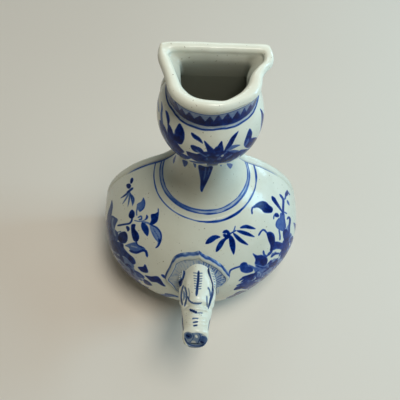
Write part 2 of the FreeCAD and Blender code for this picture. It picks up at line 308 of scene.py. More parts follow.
def grid_uv(r, c, rows, columns, v_of_row, u_low=0.04):
    """Each quad's four corners on the map."""
    u = lambda k: u_low + (1 - u_low) * k / columns
    v = np.asarray(v_of_row, float)
    corners = [(u(c), v[r]), (u(c + 1), v[r]), (u(c + 1), v[r + 1]), (u(c), v[r + 1])]
    return np.stack([np.stack(pair, 1) for pair in corners], 1).reshape(-1, 2)


def row_places(line, share_outer, outer_rows):
    """How far up the map each row of a cross-section lies: its painted outside gets the larger share."""
    length = along(line)
    outside = length[outer_rows - 1]
    return np.where(
        length <= outside,
        share_outer * length / outside,
        share_outer + (1 - share_outer) * (length - outside) / (length[-1] - outside),
    )


def sweep(section, columns):
    """A cross-section (radius, height) turned round the axis from flank to flank of the cut plane."""
    r = section[:, 0][:, None]
    reach = np.arccos(-CUT_Y / r)
    u = np.linspace(-1, 1, columns)[None, :]
    a = u * reach
    z = np.repeat(section[:, 1][:, None], columns, 1)
    return np.stack([r * np.sin(a), -r * np.cos(a), z], 2).reshape(-1, 3)


SEAM_DEPTH = 0.45
SEAM_REACH = 1.0


def seam(points):
    """Draws the clay in a little where shell and slab meet."""
    p = points.copy()
    near = eased(1 - np.abs(p[:, 1] - CUT_Y) / SEAM_REACH)
    r = np.maximum(np.hypot(p[:, 0], p[:, 1]), 1.0)
    p[:, 0] -= SEAM_DEPTH * near * p[:, 0] / r
    steep = eased((p[:, 2] - 45) / 15) * eased((96 - p[:, 2]) / 8)
    p[:, 2] -= SEAM_DEPTH * near * steep
    return p


# The thrown parts, bottom to top: where each begins and ends, columns round the pot, spacing of the rows
THROWN = {
    "lower_body": (FOOT_TOP, WIDEST_Z, 440, 0.46),
    "upper_body": (WIDEST_Z, NECK_JOINT_Z, 470, 0.36),
    "neck": (NECK_JOINT_Z, BULB_JOINT_Z, 300, 0.40),
    "bulb": (BULB_JOINT_Z, RIM_JOINT_Z, 340, 0.34),
}
INNER_SPACING = 2.4


def thrown(name, material):
    """One thrown part: its outside, its inside, the joint faces and the cut on the flat back's plane."""
    z_from, z_to, n, spacing = THROWN[name]
    has_floor = name == "lower_body"
    outside = stretch(OUTER, z_from, z_to, spacing)
    low_inside = FLOOR_TOP if has_floor else z_from
    inside = stretch(INNER, low_inside, z_to, INNER_SPACING)[::-1]
    section = np.concatenate([outside, inside])
    if has_floor:
        floor = np.array([(24.0, FLOOR_TOP), (FLOOR_EYE, FLOOR_TOP)])
        under = np.array([(FLOOR_EYE, FOOT_TOP), (24.0, FOOT_TOP), (33.0, FOOT_TOP)])
        section = np.concatenate([section, floor, under])
    rows = len(section)
    first = rows - len(under) if has_floor else 0
    points = sweep(section, n)
    is_outside = np.arange(rows * n) < len(outside) * n
    points[is_outside] = seam(belly(points[is_outside]))
    points[~is_outside] = wide_throat(points[~is_outside])
    quads, r, c = ring_grid(rows, n, True, False)
    if has_floor:
        # the section is open between the floor's eye and the underside's eye
        keep = r != first - 1
        quads, r, c = quads[keep], r[keep], c[keep]
    loop = np.concatenate([section, section[:1]])
    v = row_places(loop, 0.8, len(outside))
    uv = [grid_uv(r, c, rows, n - 1, v)]
    polygons = []
    low, high = section.min(0), section.max(0)
    order = [*range(first, rows), *range(first)]
    for hand, column in enumerate((0, n - 1)):
        polygons.append([k * n + column for k in order])
        flat = (section[order] - low) / (high - low)
        uv.append(np.stack([0.03 * flat[:, 0], 0.5 * flat[:, 1] + 0.5 * hand], 1))
    if has_floor:
        eye_floor, eye_under = (first - 1) * n, first * n
        for start in (eye_floor, eye_under):
            polygons.append([start + k for k in range(n)])
            uv.append(np.tile((0.035, 0.1), (n, 1)) + points[start:start + n, :2] / FLOOR_EYE * 0.004)
        polygons.append([eye_floor, eye_floor + n - 1, eye_under + n - 1, eye_under])
        uv.append(np.array(((0.031, 0.3), (0.034, 0.3), (0.034, 0.34), (0.031, 0.34))))
    obj = new_piece(name, points, quads, polygons, np.concatenate(uv), material)
    return obj, is_outside


def back_slab(material):
    """The flat slab, as level rings: sides, rounded edges, flat back and the front inside the pot."""
    w = np.sqrt(np.maximum(OUTER[:, 0] ** 2 - CUT_Y**2, 1.0))
    outline = np.stack([w, OUTER[:, 1]], 1)
    normal = side_of(outline)
    tangent = np.stack([-normal[:, 1], normal[:, 0]], 1)
    first = outline[:1] - tangent[:1] * 6
    last = outline[-1:] + tangent[-1:] * 6
    outline = np.concatenate([first, outline, last])
    normal = np.concatenate([normal[:1], normal, normal[-1:]])
    turns = np.linspace(0, math.pi / 2, 9)
    insets = SLAB_EDGE * (1 - np.cos(turns))
    depths = BACK_Y - SLAB_EDGE + SLAB_EDGE * np.sin(turns)
    flat_side = np.linspace(CUT_Y, BACK_Y - SLAB_EDGE, 7)[:-1]
    y_edge = np.concatenate([flat_side, depths])
    inset_edge = np.concatenate([np.zeros(len(flat_side)), insets])
    foot_rows = np.array((0.0, 0.5, 1.2, 2.4, 3.4, FOOT_TOP - 0.02))
    upper_rows = np.arange(FOOT_TOP, RIM_JOINT_Z, 0.62)
    levels = np.concatenate([foot_rows, upper_rows, (RIM_JOINT_Z,)])
    side_x = []
    for inset in inset_edge:
        shifted = outline - normal * inset
        x = np.interp(levels, shifted[:, 1], shifted[:, 0])
        at_foot = FOOT_HALF - 0.3 * inset - 0.5 * eased(1 - levels / 0.8)
        side_x.append(np.where(levels < FOOT_TOP, at_foot, x))
    side_x = np.array(side_x).T
    back_columns, front_columns = 90, 36
    share_back = np.linspace(-1, 1, back_columns)[1:-1]
    share_front = np.linspace(1, -1, front_columns)[1:-1]
    rings = []
    for k, z in enumerate(levels):
        x = side_x[k]
        left = np.stack([-x, y_edge], 1)
        right = np.stack([x, y_edge], 1)[::-1]
        back = np.stack([share_back * x[-1], np.full(len(share_back), BACK_Y)], 1)
        front = np.stack([share_front * x[0], np.full(len(share_front), CUT_Y)], 1)
        ring = np.concatenate([left, back, right, front])
        rings.append(np.column_stack([ring, np.full(len(ring), z)]))
    rings = np.array(rings)
    rows, n = rings.shape[:2]
    points = rings.reshape(-1, 3)
    edge = len(y_edge)
    column = np.tile(np.arange(n), rows)
    outside = column < 2 * edge + len(share_back)
    uneven = eased((points[:, 1] - CUT_Y) / 3)
    points[:, 1] -= 0.14 * uneven * np.maximum(0, 1 + swell(points, 38.0, 11))
    points[outside] = seam(points[outside])
    quads, r, c = ring_grid(rows, n, False, True)
    uv = [grid_uv(r, c, rows, n, np.linspace(0.02, 1, rows))]
    polygons = [list(range(n)), [(rows - 1) * n + k for k in range(n)]]
    for hand in range(2):
        ring = rings[-hand]
        uv.append(np.stack([0.02 + 0.0001 * ring[:, 0], 0.2 + 0.3 * hand + 0.001 * ring[:, 1]], 1))
    obj = new_piece("back_slab", points, quads, polygons, np.concatenate(uv), material)
    return obj, outside


# ---- the mouth rim ----

# Matching places round the lip, each as the lip's outer edge, the inner edge of its roll, the foot of the
# slope inside it, and the joint below: a direction from the axis, or a place on the slab's rounded side.
# From the front over the right to the back, then from the front over the left.
LIP_FRONT = ((0.0, -19.8), (-0.6, -15.0), (-0.5, -14.6), 0.0)
LIP_RIGHT = (
    ((5.7, -18.4), (3.6, -14.4), (3.5, -14.0), 16.0),
    ((10.7, -15.9), (7.2, -12.6), (7.1, -12.3), 32.0),
    ((14.6, -13.3), (10.2, -10.4), (10.0, -10.2), 48.0),
    ((17.2, -10.2), (12.2, -7.0), (11.9, -6.9), 64.0),
    ((18.6, -6.2), (13.4, -3.6), (12.9, -3.4), 80.0),
    ((19.4, -2.6), (15.0, -0.8), (13.1, -0.2), 94.0),
    ((20.9, 0.8), (16.9, 1.9), (13.7, 2.6), 105.0),
    ((23.1, 4.0), (18.7, 4.4), (14.5, 4.8), 114.0),
    ((23.9, 7.6), (19.6, 6.7), (15.0, 6.4), (17.1, 9.6)),
    ((23.3, 10.9), (19.0, 8.7), (14.9, 7.5), (16.7, 12.3)),
    ((20.8, 13.1), (16.2, 9.2), (13.2, 8.0), (14.6, 13.5)),
    ((11.5, 13.5), (8.5, 9.3), (7.3, 8.2), (7.3, 13.6)),
)
LIP_BACK = ((0.0, 13.5), (0.0, 9.3), (0.0, 8.2), (0.0, 13.6))
LIP_LEFT = (
    ((-5.7, -19.4), (-5.2, -14.4), (-5.0, -14.0), -16.0),
    ((-11.2, -17.4), (-8.8, -12.4), (-8.5, -12.1), -32.0),
    ((-15.3, -14.1), (-11.3, -9.9), (-10.9, -9.8), -48.0),
    ((-17.6, -10.4), (-12.8, -7.2), (-12.2, -7.2), -64.0),
    ((-18.9, -6.4), (-13.8, -4.2), (-12.8, -4.2), -80.0),
    ((-20.0, -2.4), (-14.8, -1.2), (-13.1, -1.0), -94.0),
    ((-21.0, 1.4), (-15.9, 1.8), (-13.2, 2.0), -105.0),
    ((-22.1, 5.0), (-17.0, 4.7), (-13.4, 4.6), -114.0),
    ((-22.7, 8.4), (-17.8, 7.0), (-13.6, 6.4), (-17.1, 9.6)),
    ((-22.2, 11.2), (-17.2, 8.5), (-13.4, 7.5), (-16.7, 12.3)),
    ((-20.0, 13.1), (-15.0, 9.3), (-12.0, 8.0), (-14.6, 13.5)),
    ((-11.0, 13.5), (-8.0, 9.3), (-7.0, 8.2), (-7.3, 13.6)),
)
# The throat's matching places past the seam, as |x| and y
THROAT_BACK = ((12.9, 5.6), (12.2, 6.9), (11.2, 7.45), (10.4, 7.6), (9.4, 7.6), (4.8, 7.6))


def wide_throat(p):
    """The throat's back corners were cut out wider than the thrown round, the right one more."""
    q = p.copy()
    amount = eased((p[..., 2] - 131) / 13) * eased((p[..., 1] + 3) / 8) * eased((np.abs(p[..., 0]) - 3) / 7)
    q[..., 0] += np.where(p[..., 0] > 0, 2.3, -1.3) * amount
    return q


def joint_place(k, where, hand):
    """Outer and inner place of the joint between bulb and rim that match one place of the lip."""
    if isinstance(where, tuple):
        outer = where
    else:
        a = math.radians(where)
        outer = (RIM_JOINT_R * math.sin(a), -RIM_JOINT_R * math.cos(a))
    if k < 7:
        a = math.radians(where) * 1.05
        inner = (THROAT_R * math.sin(a), -THROAT_R * math.cos(a))
    elif k < 13:
        x, y = THROAT_BACK[k - 7]
        inner = (hand * x, y)
    else:
        inner = (0.0, CUT_Y)
    return outer, inner


def lip_lines(rough):
    """The five outlines (lip outer, lip inner, slope's foot, joint outer, joint inner), sampled alike."""
    rows = [(*LIP_FRONT[:3], *joint_place(0, LIP_FRONT[3], 1))]
    rows += [(*place[:3], *joint_place(k + 1, place[3], 1)) for k, place in enumerate(LIP_RIGHT)]
    rows += [(*LIP_BACK[:3], *joint_place(13, LIP_BACK[3], 1))]
    rows += [(*place[:3], *joint_place(12 - k, place[3], -1)) for k, place in enumerate(LIP_LEFT[::-1])]
    return curve_through(np.array(rows, float), rough, closed=True)


def mouth_rim(material):
    """The thick rolled lip, standing on bulb and slab."""
    lines = lip_lines(15)
    lip_o, lip_i, ledge, joint_o, joint_i = (lines[:, k] for k in range(5))
    lip_o[:, 1] = np.minimum(lip_o[:, 1], BACK_Y - 0.05)
    joint_o[:, 1] = np.minimum(joint_o[:, 1], BACK_Y)
    joint_i[:, 1] = np.minimum(joint_i[:, 1], CUT_Y)
    n = len(lines)
    back = eased((lip_o[:, 1] - 9) / 4)
    radial = lip_o / np.linalg.norm(lip_o, axis=1)[:, None]
    pinch = radial * (1 - back)[:, None]
    flat = np.column_stack([lip_o, np.full(n, TOP_Z)])
    dip = 0.30 * np.maximum(0, 1 + swell(flat, 15.0, 5)) * (1 - 0.4 * back)
    lip_o = lip_o + radial * (0.16 * (swell(flat, 11.0, 6) - 1) * (1 - back))[:, None]
    lip_i = lip_i + radial * (0.22 * swell(flat, 9.0, 7) * (1 - 0.6 * back))[:, None]
    across = lip_i - lip_o
    low_inner = wide_throat(np.column_stack([joint_i, np.full(n, RIM_JOINT_Z)]))[:, :2]

    def at(share, z):
        share = share * np.ones(n)
        return np.column_stack([lip_o + across * share[:, None], z * np.ones(n)])

    def mixed(a, b, t, z, push=0.0):
        return np.column_stack([a * (1 - t) + b * t - pinch * push, z * np.ones(n)])

    rows = [
        mixed(joint_o, lip_o, 0.0, RIM_JOINT_Z),
        mixed(joint_o, lip_o, 0.18, 147.4, 0.35),
        mixed(joint_o, lip_o, 0.40, 149.8, 0.75),
        mixed(joint_o, lip_o, 0.70, 152.4, 0.95),
        mixed(joint_o, lip_o, 0.90, 154.4, 0.62),
        mixed(joint_o, lip_o, 1.0, 155.8, 0.12),
        at(0.0, 157.1 + 0.9 * back - dip),
        at(0.10 - 0.05 * back, 158.45 + 0.65 * back - dip),
        at(0.28 - 0.10 * back, 159.25 + 0.13 * back - dip),
        at(0.50, TOP_Z - dip),
        at(0.73, 159.15 - dip),
        at(0.91, 158.2 - dip),
        at(1.0, 156.8 - dip),
        mixed(lip_i, ledge, 0.55, 155.2 - 0.5 * dip),
        mixed(lip_i, ledge, 1.0, 153.2),
        mixed(ledge, low_inner, 0.5, 149.6),
        mixed(ledge, low_inner, 1.0, RIM_JOINT_Z),
    ]
    shape = curve_through(np.array(rows), 6)
    shape[..., 2] = np.clip(shape[..., 2], RIM_JOINT_Z, TOP_Z)
    shape[..., 1] = np.minimum(shape[..., 1], BACK_Y)
    m = len(shape)
    points = shape.reshape(-1, 3)
    quads, r, c = ring_grid(m, n, True, True)
    v = np.linspace(0, 1, m + 1)
    uv = grid_uv(r, c, m, n, v)
    obj = new_piece("mouth_rim", points, quads, [], uv, material)
    return obj, np.arange(m * n) < 9 * 6 * n


# ---- the spout ----

def from_head(points):
    """From the head's own axes (x to the side, distance along it, height above it) to the frame's."""
    x, s, h = points[:, 0], points[:, 1], points[:, 2]
    y = -s * math.cos(SPOUT_TILT) + h * math.sin(SPOUT_TILT) - ROOT_REACH
    z = s * math.sin(SPOUT_TILT) + h * math.cos(SPOUT_TILT) + ROOT_Z
    c, t = math.cos(SPOUT_TURN), math.sin(SPOUT_TURN)
    return np.stack([x * c - y * t, x * t + y * c, z], 1)


# Rings of the head from the root to the muzzle and back inside: distance along the head at the ring's top
# and at its bottom, half width, top, bottom, fullness
HEAD_RINGS = (
    (-7.0, -7.0, 9.3, 10.6, -11.0, 2.0),
    (0.0, 0.0, 9.5, 10.6, -11.0, 2.05),
    (5.0, 5.0, 9.5, 10.7, -10.8, 2.1),
    (9.0, 9.0, 9.3, 10.5, -10.2, 2.2),
    (13.0, 13.0, 8.9, 10.2, -9.5, 2.25),
    (16.0, 16.0, 8.5, 9.8, -8.9, 2.25),
    (19.2, 19.2, 7.95, 9.1, -8.2, 2.2),
    (21.6, 21.6, 7.6, 7.7, -7.8, 2.2),
    (25.0, 25.0, 7.15, 7.1, -7.2, 2.25),
    (29.0, 29.0, 6.7, 6.5, -6.6, 2.3),
    (32.4, 32.6, 6.35, 6.05, -6.2, 2.3),
    (34.4, 35.0, 6.3, 5.8, -6.05, 2.3),
    (35.6, 36.8, 6.15, 5.35, -5.95, 2.25),
    (36.5, 38.0, 5.75, 4.35, -5.6, 2.2),
    (37.1, 38.7, 5.25, 2.9, -4.95, 2.15),
    (37.7, 39.05, 4.75, 1.1, -4.15, 2.1),
    (38.15, 39.1, 4.3, -0.4, -3.45, 2.05),
    (38.25, 38.95, 4.0, -1.1, -2.95, 2.0),
    (37.9, 38.4, 3.8, -1.3, -2.75, 2.0),
    (36.6, 37.0, 3.6, -0.7, -3.2, 2.0),
    (33.5, 33.5, 3.5, 1.4, -4.2, 2.0),
    (26.0, 26.0, 3.9, 2.9, -4.9, 2.0),
    (15.0, 15.0, 4.6, 3.6, -5.6, 2.0),
    (3.0, 3.0, 5.3, 4.3, -6.3, 2.0),
    (-7.0, -7.0, 5.8, 4.8, -6.8, 2.0),
)
RING_STEPS = 11
LAST_OUTER_RING = 17
EYE = (7.4, 15.2, 3.2)
EYE_SIZE = (4.4, 2.2)
NOSTRIL = (3.7, 36.4, 2.9)
# Folds across the bridge: place along the head, depth, width
FOLDS = ((22.2, 0.75, 0.9), (25.7, 0.62, 0.8), (29.5, 0.42, 0.6), (31.4, 0.40, 0.6), (33.1, 0.36, 0.6))


def narrowed(sin, s):
    """The head's cross-section draws in towards a narrow top behind the muzzle."""
    return 1 - 0.27 * np.clip((sin - 0.05) / 0.95, 0, 1) ** 1.4 * eased((34 - s) / 8) * eased((s + 8) / 12)


def dimple(local, centre, size, depth):
    """Where and how much a bump (depth above 0) or a dent shows, by distance from its centre."""
    q = (local - np.asarray(centre)) / np.asarray(size)
    return depth * np.exp(-(q**2).sum(1) * 2.0)


def head(material):
    """The long-muzzled head with brow, eyes, nostrils, parted lips and the bore behind them."""
    turns = 176
    rings = curve_through(np.array(HEAD_RINGS), RING_STEPS)
    rows = len(rings)
    phi = np.linspace(0, 2 * math.pi, turns, endpoint=False)
    cos, sin = np.cos(phi)[None, :], np.sin(phi)[None, :]
    s_top, s_low, half, top, low, full = (rings[:, k][:, None] for k in range(6))
    wide = np.sign(cos) * np.abs(cos) ** (2 / full)
    tall = np.sign(sin) * np.abs(sin) ** (2 / full)
    middle, reach = (top + low) / 2, (top - low) / 2
    ring_no = np.repeat(np.arange(rows), turns)
    outside = ring_no <= LAST_OUTER_RING * RING_STEPS
    inner_ring = (np.arange(rows) > LAST_OUTER_RING * RING_STEPS)[:, None]
    x = half * wide * np.where(inner_ring, 1.0, narrowed(sin, s_top))
    h = middle + reach * tall
    s = (s_top + s_low) / 2 + (s_top - s_low) / 2 * sin
    local = np.stack([x, s, h], 2).reshape(-1, 3)
    outward = np.stack([half * cos, 0 * cos + 0 * half, reach * sin], 2).reshape(-1, 3)
    outward /= np.maximum(np.linalg.norm(outward, axis=1), 1e-6)[:, None]
    up = np.clip(outward[:, 2], 0, 1)
    side = np.abs(local[:, 0])
    lift = np.zeros(len(local))
    folded = np.column_stack([side, local[:, 1], local[:, 2]])
    # eyeball with a lid ridge round it, brow over it and a hollow below
    q = (folded - np.array(EYE)) / np.array((3.0, *EYE_SIZE))
    ring_distance = np.sqrt((q[:, 1:] ** 2).sum(1))
    on_side = eased((side - 3.6) / 2.0)
    lift += on_side * (0.85 * eased(1 - ring_distance) + 0.5 * hump(ring_distance, 1.15, 0.34))
    lift += dimple(folded, (6.0, 12.0, 8.0), (3.0, 6.0, 1.7), 0.5)
    lift -= dimple(folded, (7.8, 15.6, -0.4), (3.0, 5.0, 1.3), 0.4)
    lift -= dimple(folded, (5.0, 21.6, 4.6), (3.0, 2.6, 2.4), 0.7)
    # folds across the bridge, each a furrow with a raised edge before it, and the forehead's middle furrow
    arch = local[:, 1] + 0.035 * local[:, 0] ** 2
    for place, depth, width in FOLDS:
        lift -= depth * hump(arch, place, width) * eased((up - 0.35) / 0.4)
        lift += 0.8 * depth * hump(arch, place - 1.3, 1.1) * eased((up - 0.35) / 0.4)
    lift -= 0.3 * hump(local[:, 0], 0.0, 0.9) * hump(local[:, 1], 10.6, 8.0) * up
    # nostrils with swelled wings, a nose pad between them, and the corner folds of the mouth
    lift -= dimple(folded, NOSTRIL, (1.45, 1.2, 1.35), 1.1)
    lift += dimple(folded, (5.4, 34.8, 2.9), (1.3, 2.0, 2.0), 0.45)
    lift += dimple(folded, (0.0, 37.2, 2.2), (1.7, 1.2, 1.3), 0.35)
    lift -= dimple(folded, (0.0, 35.9, 4.6), (1.2, 0.9, 1.0), 0.3)
    lift -= dimple(folded, (5.6, 36.0, -1.9), (1.3, 2.6, 0.7), 0.5)
    local += outward * (lift * outside)[:, None]
    local += outward * (0.09 * swell(local, 7.0, 21) * outside)[:, None]
    points = from_head(local)
    quads, r, c = ring_grid(rows, turns, True, True)
    uv = grid_uv(r, c, rows, turns, np.linspace(0, 1, rows + 1))
    obj = new_piece("animal_head", points, quads, [], uv, material, ("head_left", "head_right"))
    painted = ring_no <= (LAST_OUTER_RING + 2) * RING_STEPS
    return obj, painted


# Each ear on the head's side: hand, place along the head, turn up from the side at its back and front ends
EARS = ((-1, 5.0, 27.0, 16.0), (1, 5.4, 50.0, 22.0))
EAR_LENGTH = 10.6
EAR_WIDTH = 4.7


def ear(hand, middle_s, back_turn, front_turn, material):
    """A leaf-shaped ear laid on the side of the head, with raised borders and a pointed front end."""
    rows, columns = 44, 34
    u = np.linspace(-1, 1, rows)[:, None]
    v = np.linspace(-1, 1, columns)[None, :]
    width = EAR_WIDTH / 2 * np.clip(1 - np.abs(u) ** 2.4, 0, 1) ** 0.6 * (1 - 0.38 * eased((u + 0.3) / 1.3))
    s = middle_s + EAR_LENGTH / 2 * u + 0.0 * v
    turn = np.radians(back_turn + (front_turn - back_turn) * (u + 1) / 2) + width * v / 9.8
    dense = curve_through(np.array(HEAD_RINGS), RING_STEPS)[:LAST_OUTER_RING * RING_STEPS]
    half, top, low, full = (np.interp(s, dense[:, 0], dense[:, k]) for k in (2, 3, 4, 5))
    reach = (top - low) / 2
    x = half * np.cos(turn) ** (2 / full) * narrowed(np.sin(turn), s)
    h = (top + low) / 2 + reach * np.sin(turn) ** (2 / full)
    out_x, out_h = np.cos(turn) / half, np.sin(turn) / reach
    size = np.hypot(out_x, out_h)
    out_x, out_h = out_x / size, out_h / size
    dome = np.clip(1 - np.abs(v) ** 3.4, 0, 1) ** 0.8 * np.clip(1 - np.abs(u) ** 5, 0, 1) ** 0.5
    hollow = eased(1 - np.abs(v) / 0.6) * eased((0.85 - np.abs(u)) / 0.3)
    raised = -0.5 + (2.0 * dome - 0.75 * hollow) * (1 - 0.3 * eased((u - 0.1) / 0.9))
    sunk = -1.2 + 0.0 * v + 0.0 * u
    layers = [
        np.stack([hand * (x + out_x * t), s, h + out_h * t], 2).reshape(-1, 3) for t in (raised, sunk)
    ]
    quads, r, c = ring_grid(rows, columns, False, False)
    under = quads + rows * columns
    border = (
        [k for k in range(columns)]
        + [k * columns + columns - 1 for k in range(1, rows)]
        + [(rows - 1) * columns + k for k in range(columns - 2, -1, -1)]
        + [k * columns for k in range(rows - 2, 0, -1)]
    )
    rim = [(a, b, b + rows * columns, a + rows * columns) for a, b in zip(border, border[1:] + border[:1])]
    quads = np.concatenate([quads, under, np.array(rim)])
    uv_top = grid_uv(r, c, rows, columns - 1, np.linspace(0, 0.55, rows))
    uv_low = uv_top + np.array((0.0, 0.4))
    uv_rim = np.tile(((0.0, 0.98), (0.01, 0.98), (0.01, 1.0), (0.0, 1.0)), (len(rim), 1))
    name = "ear_left" if hand < 0 else "ear_right"
    points = from_head(np.concatenate(layers))
    obj = new_piece(name, points, quads, [], np.concatenate([uv_top, uv_low, uv_rim]), material)
    edge = np.exp(-(((np.abs(v) - 0.86) / 0.14) ** 2)) + 0 * u
    upper = np.where(v > 0, 0.95, 0.7)
    tip = eased((np.abs(u - (1 if hand < 0 else -1)) - 1.0) / -0.35)
    veins = 0.35 * (0.5 + 0.5 * np.sin(26 * u)) * eased((0.6 - np.abs(v)) / 0.3)
    ink = np.maximum(np.maximum(edge * upper, 0.95 * (tip if hand < 0 else 0 * tip)), veins)
    ink = np.concatenate([ink.ravel(), np.zeros(rows * columns)])
    write_ink(obj, ink, thin=0.7 * eased(ink / 0.25))
    return obj


# The collar's edge in the photograph, from its tip over the right corner and over the left corner; its low
# edge under the head, and the place from which its border is drawn inwards, in x and z
COLLAR_TIP_PX = (199.0, 252.4)
COLLAR_RIGHT_PX = (
    (203, 255.4), (209, 258.2), (216, 262), (222, 266.4), (226.5, 271.5), (230.4, 277.0), (226, 283),
    (220, 288),
)
COLLAR_LEFT_PX = (
    (194, 253.6), (186, 253.9), (179, 255.2), (173.6, 258.6), (170, 266), (165.2, 277.3), (170.5, 284.0),
    (175.5, 290.5),
)
COLLAR_LOW = ((9.5, 43.0), (4.5, 39.6), (-0.5, 38.6), (-5.5, 39.4), (-10.5, 42.6))
COLLAR_CENTRE = (-2.4, 53.0)
# The collar's section, from edge to root: share of the way out from the centre, thickness over the shoulder
COLLAR_SECTION = (
    (1.0, -0.5), (1.0, 0.25), (0.992, 0.75), (0.975, 1.15), (0.95, 1.42), (0.92, 1.5), (0.89, 1.4),
    (0.86, 1.15), (0.83, 1.0), (0.78, 1.0), (0.7, 1.1), (0.6, 1.25), (0.5, 1.45), (0.42, 1.6),
    (0.42, -0.5),
)


def on_shoulder(x, y, swollen):
    """The place (x, z) on the swollen body that the photograph shows at one of its points."""
    way = photo_ray(x, y)
    t = np.linspace(200, 330, 2600)
    q = CAMERA_AT + way * t[:, None]
    inside = np.hypot(q[:, 0], q[:, 1]) < radius_at(q[:, 2], swollen)
    return q[np.argmax(inside & (q[:, 2] < NECK_JOINT_Z))][[0, 2]]


def spout_collar(material):
    """The pointed flange on the shoulder: a rolled border round a sunk field."""
    right = [on_shoulder(x, y, 0.6) for x, y in COLLAR_RIGHT_PX]
    left = [on_shoulder(x, y, 0.6) for x, y in COLLAR_LEFT_PX]
    tip = on_shoulder(*COLLAR_TIP_PX, 0.6)
    low = [np.array(p) for p in COLLAR_LOW]
    corners = [tip] + right + low + left[::-1]
    edge = curve_through(np.array(corners), 12, closed=True)
    n = len(edge)
    centre = np.array(COLLAR_CENTRE)
    rows = curve_through(COLLAR_SECTION, 4)
    shape = []
    for share, thick in rows:
        p = centre + (edge - centre) * share
        r = radius_at(p[:, 1], thick)
        y = -np.sqrt(np.maximum(r**2 - p[:, 0] ** 2, 1.0))
        shape.append(np.column_stack([p[:, 0], y, p[:, 1]]))
    shape = np.array(shape)
    m = len(shape)
    points = belly(shape.reshape(-1, 3))
    quads, r, c = ring_grid(m, n, True, True)
    uv = grid_uv(r, c, m, n, np.linspace(0, 1, m + 1))
    obj = new_piece("spout_collar", points, quads, [], uv, material)
    share = np.repeat(rows[:, 0], n)
    return obj, share, np.tile(np.arange(n) / n, m)


# ---- brushwork ----

# How wide a stroke's soft edge is, in pixels
SOFT = 0.75
LEAF, LINE, DROP, FILL = "leaf", "line", "drop", "fill"


class Brush:
    """Lays ink on a set of points of the plane: the photograph's frame, or angle and height on the pot."""

    def __init__(self, x, y, soft=SOFT):
        self.x, self.y, self.soft = x, y, soft
        self.ink = np.zeros(len(x))

    def near(self, line, reach):
        low, high = line.min(0) - reach, line.max(0) + reach
        across = (self.x > low[0]) & (self.x < high[0])
        return np.nonzero(across & (self.y > low[1]) & (self.y < high[1]))[0]

    def measure(self, line, idx):
        """Distance from a polyline, and how far along it, from 0 to 1."""
        p = np.stack([self.x[idx], self.y[idx]], 1)
        a, b = line[:-1], line[1:]
        d = b - a
        size = np.maximum((d**2).sum(1), 1e-9)
        length = np.concatenate(((0.0,), np.cumsum(np.sqrt(size))))
        best = np.full(len(p), 1e9)
        place = np.zeros(len(p))
        for k in range(len(a)):
            t = np.clip(((p - a[k]) @ d[k]) / size[k], 0, 1)
            gap = np.hypot(*(p - a[k] - t[:, None] * d[k]).T)
            closer = gap < best
            best = np.where(closer, gap, best)
            place = np.where(closer, (length[k] + t * math.sqrt(size[k])) / length[-1], place)
        return best, place

    def lay(self, idx, mask, ink):
        if ink < 0:
            self.ink[idx] *= 1 + ink * mask
        else:
            self.ink[idx] = np.maximum(self.ink[idx], ink * mask)

    def draw(self, rows):
        """Lays rows of form, width, ink and then x and y of each point."""
        for form, width, ink, *places in rows:
            controls = np.reshape(places, (-1, 2)).astype(float)
            if form == FILL:
                self.shape(controls, ink)
            else:
                self.stroke(controls, width, ink, form)

    def stroke(self, controls, width, ink, form):
        """A leaf is pointed at both ends, a drop swells to its end, a line keeps its width."""
        line = curve_through(controls, 6) if len(controls) > 2 else controls
        idx = self.near(line, width)
        if len(idx) == 0:
            return
        gap, t = self.measure(line, idx)
        if form == LEAF:
            body = np.sin(math.pi * np.clip(t, 0.0, 1.0) ** 0.85) ** 0.75
        elif form == DROP:
            body = np.clip(t, 0, 1) ** 0.7 * np.clip((1.04 - t) / 0.16, 0, 1) ** 0.5
        else:
            body = np.clip(0.55 + np.minimum(t, 1 - t) * 8, 0, 1)
        half = width / 2 * body
        mask = eased(0.5 + (half - gap) / self.soft) * np.clip(half / (0.25 * self.soft), 0, 1)
        self.lay(idx, mask, ink)

    def shape(self, controls, ink):
        """A filled shape inside a closed outline."""
        line = curve_through(controls, 5, closed=True)
        ring = np.concatenate([line, line[:1]])
        idx = self.near(ring, 2 * self.soft)
        if len(idx) == 0:
            return
        gap, _ = self.measure(ring, idx)
        px, py = self.x[idx], self.y[idx]
        inside = np.zeros(len(idx), bool)
        for (x0, y0), (x1, y1) in zip(ring, ring[1:]):
            crosses = (y0 > py) != (y1 > py)
            with np.errstate(divide="ignore", invalid="ignore"):
                at = x0 + (py - y0) * (x1 - x0) / (y1 - y0)
            inside ^= crosses & (px < at)
        mask = eased(0.5 + np.where(inside, gap, -gap) / self.soft)
        self.lay(idx, mask, ink)


# Strokes in the photograph's frame, in the order in which they are laid. Each row gives the form, the
# width (0 for a filled outline), the ink, and then x and y of each point. Ink below 0 lifts paint off.

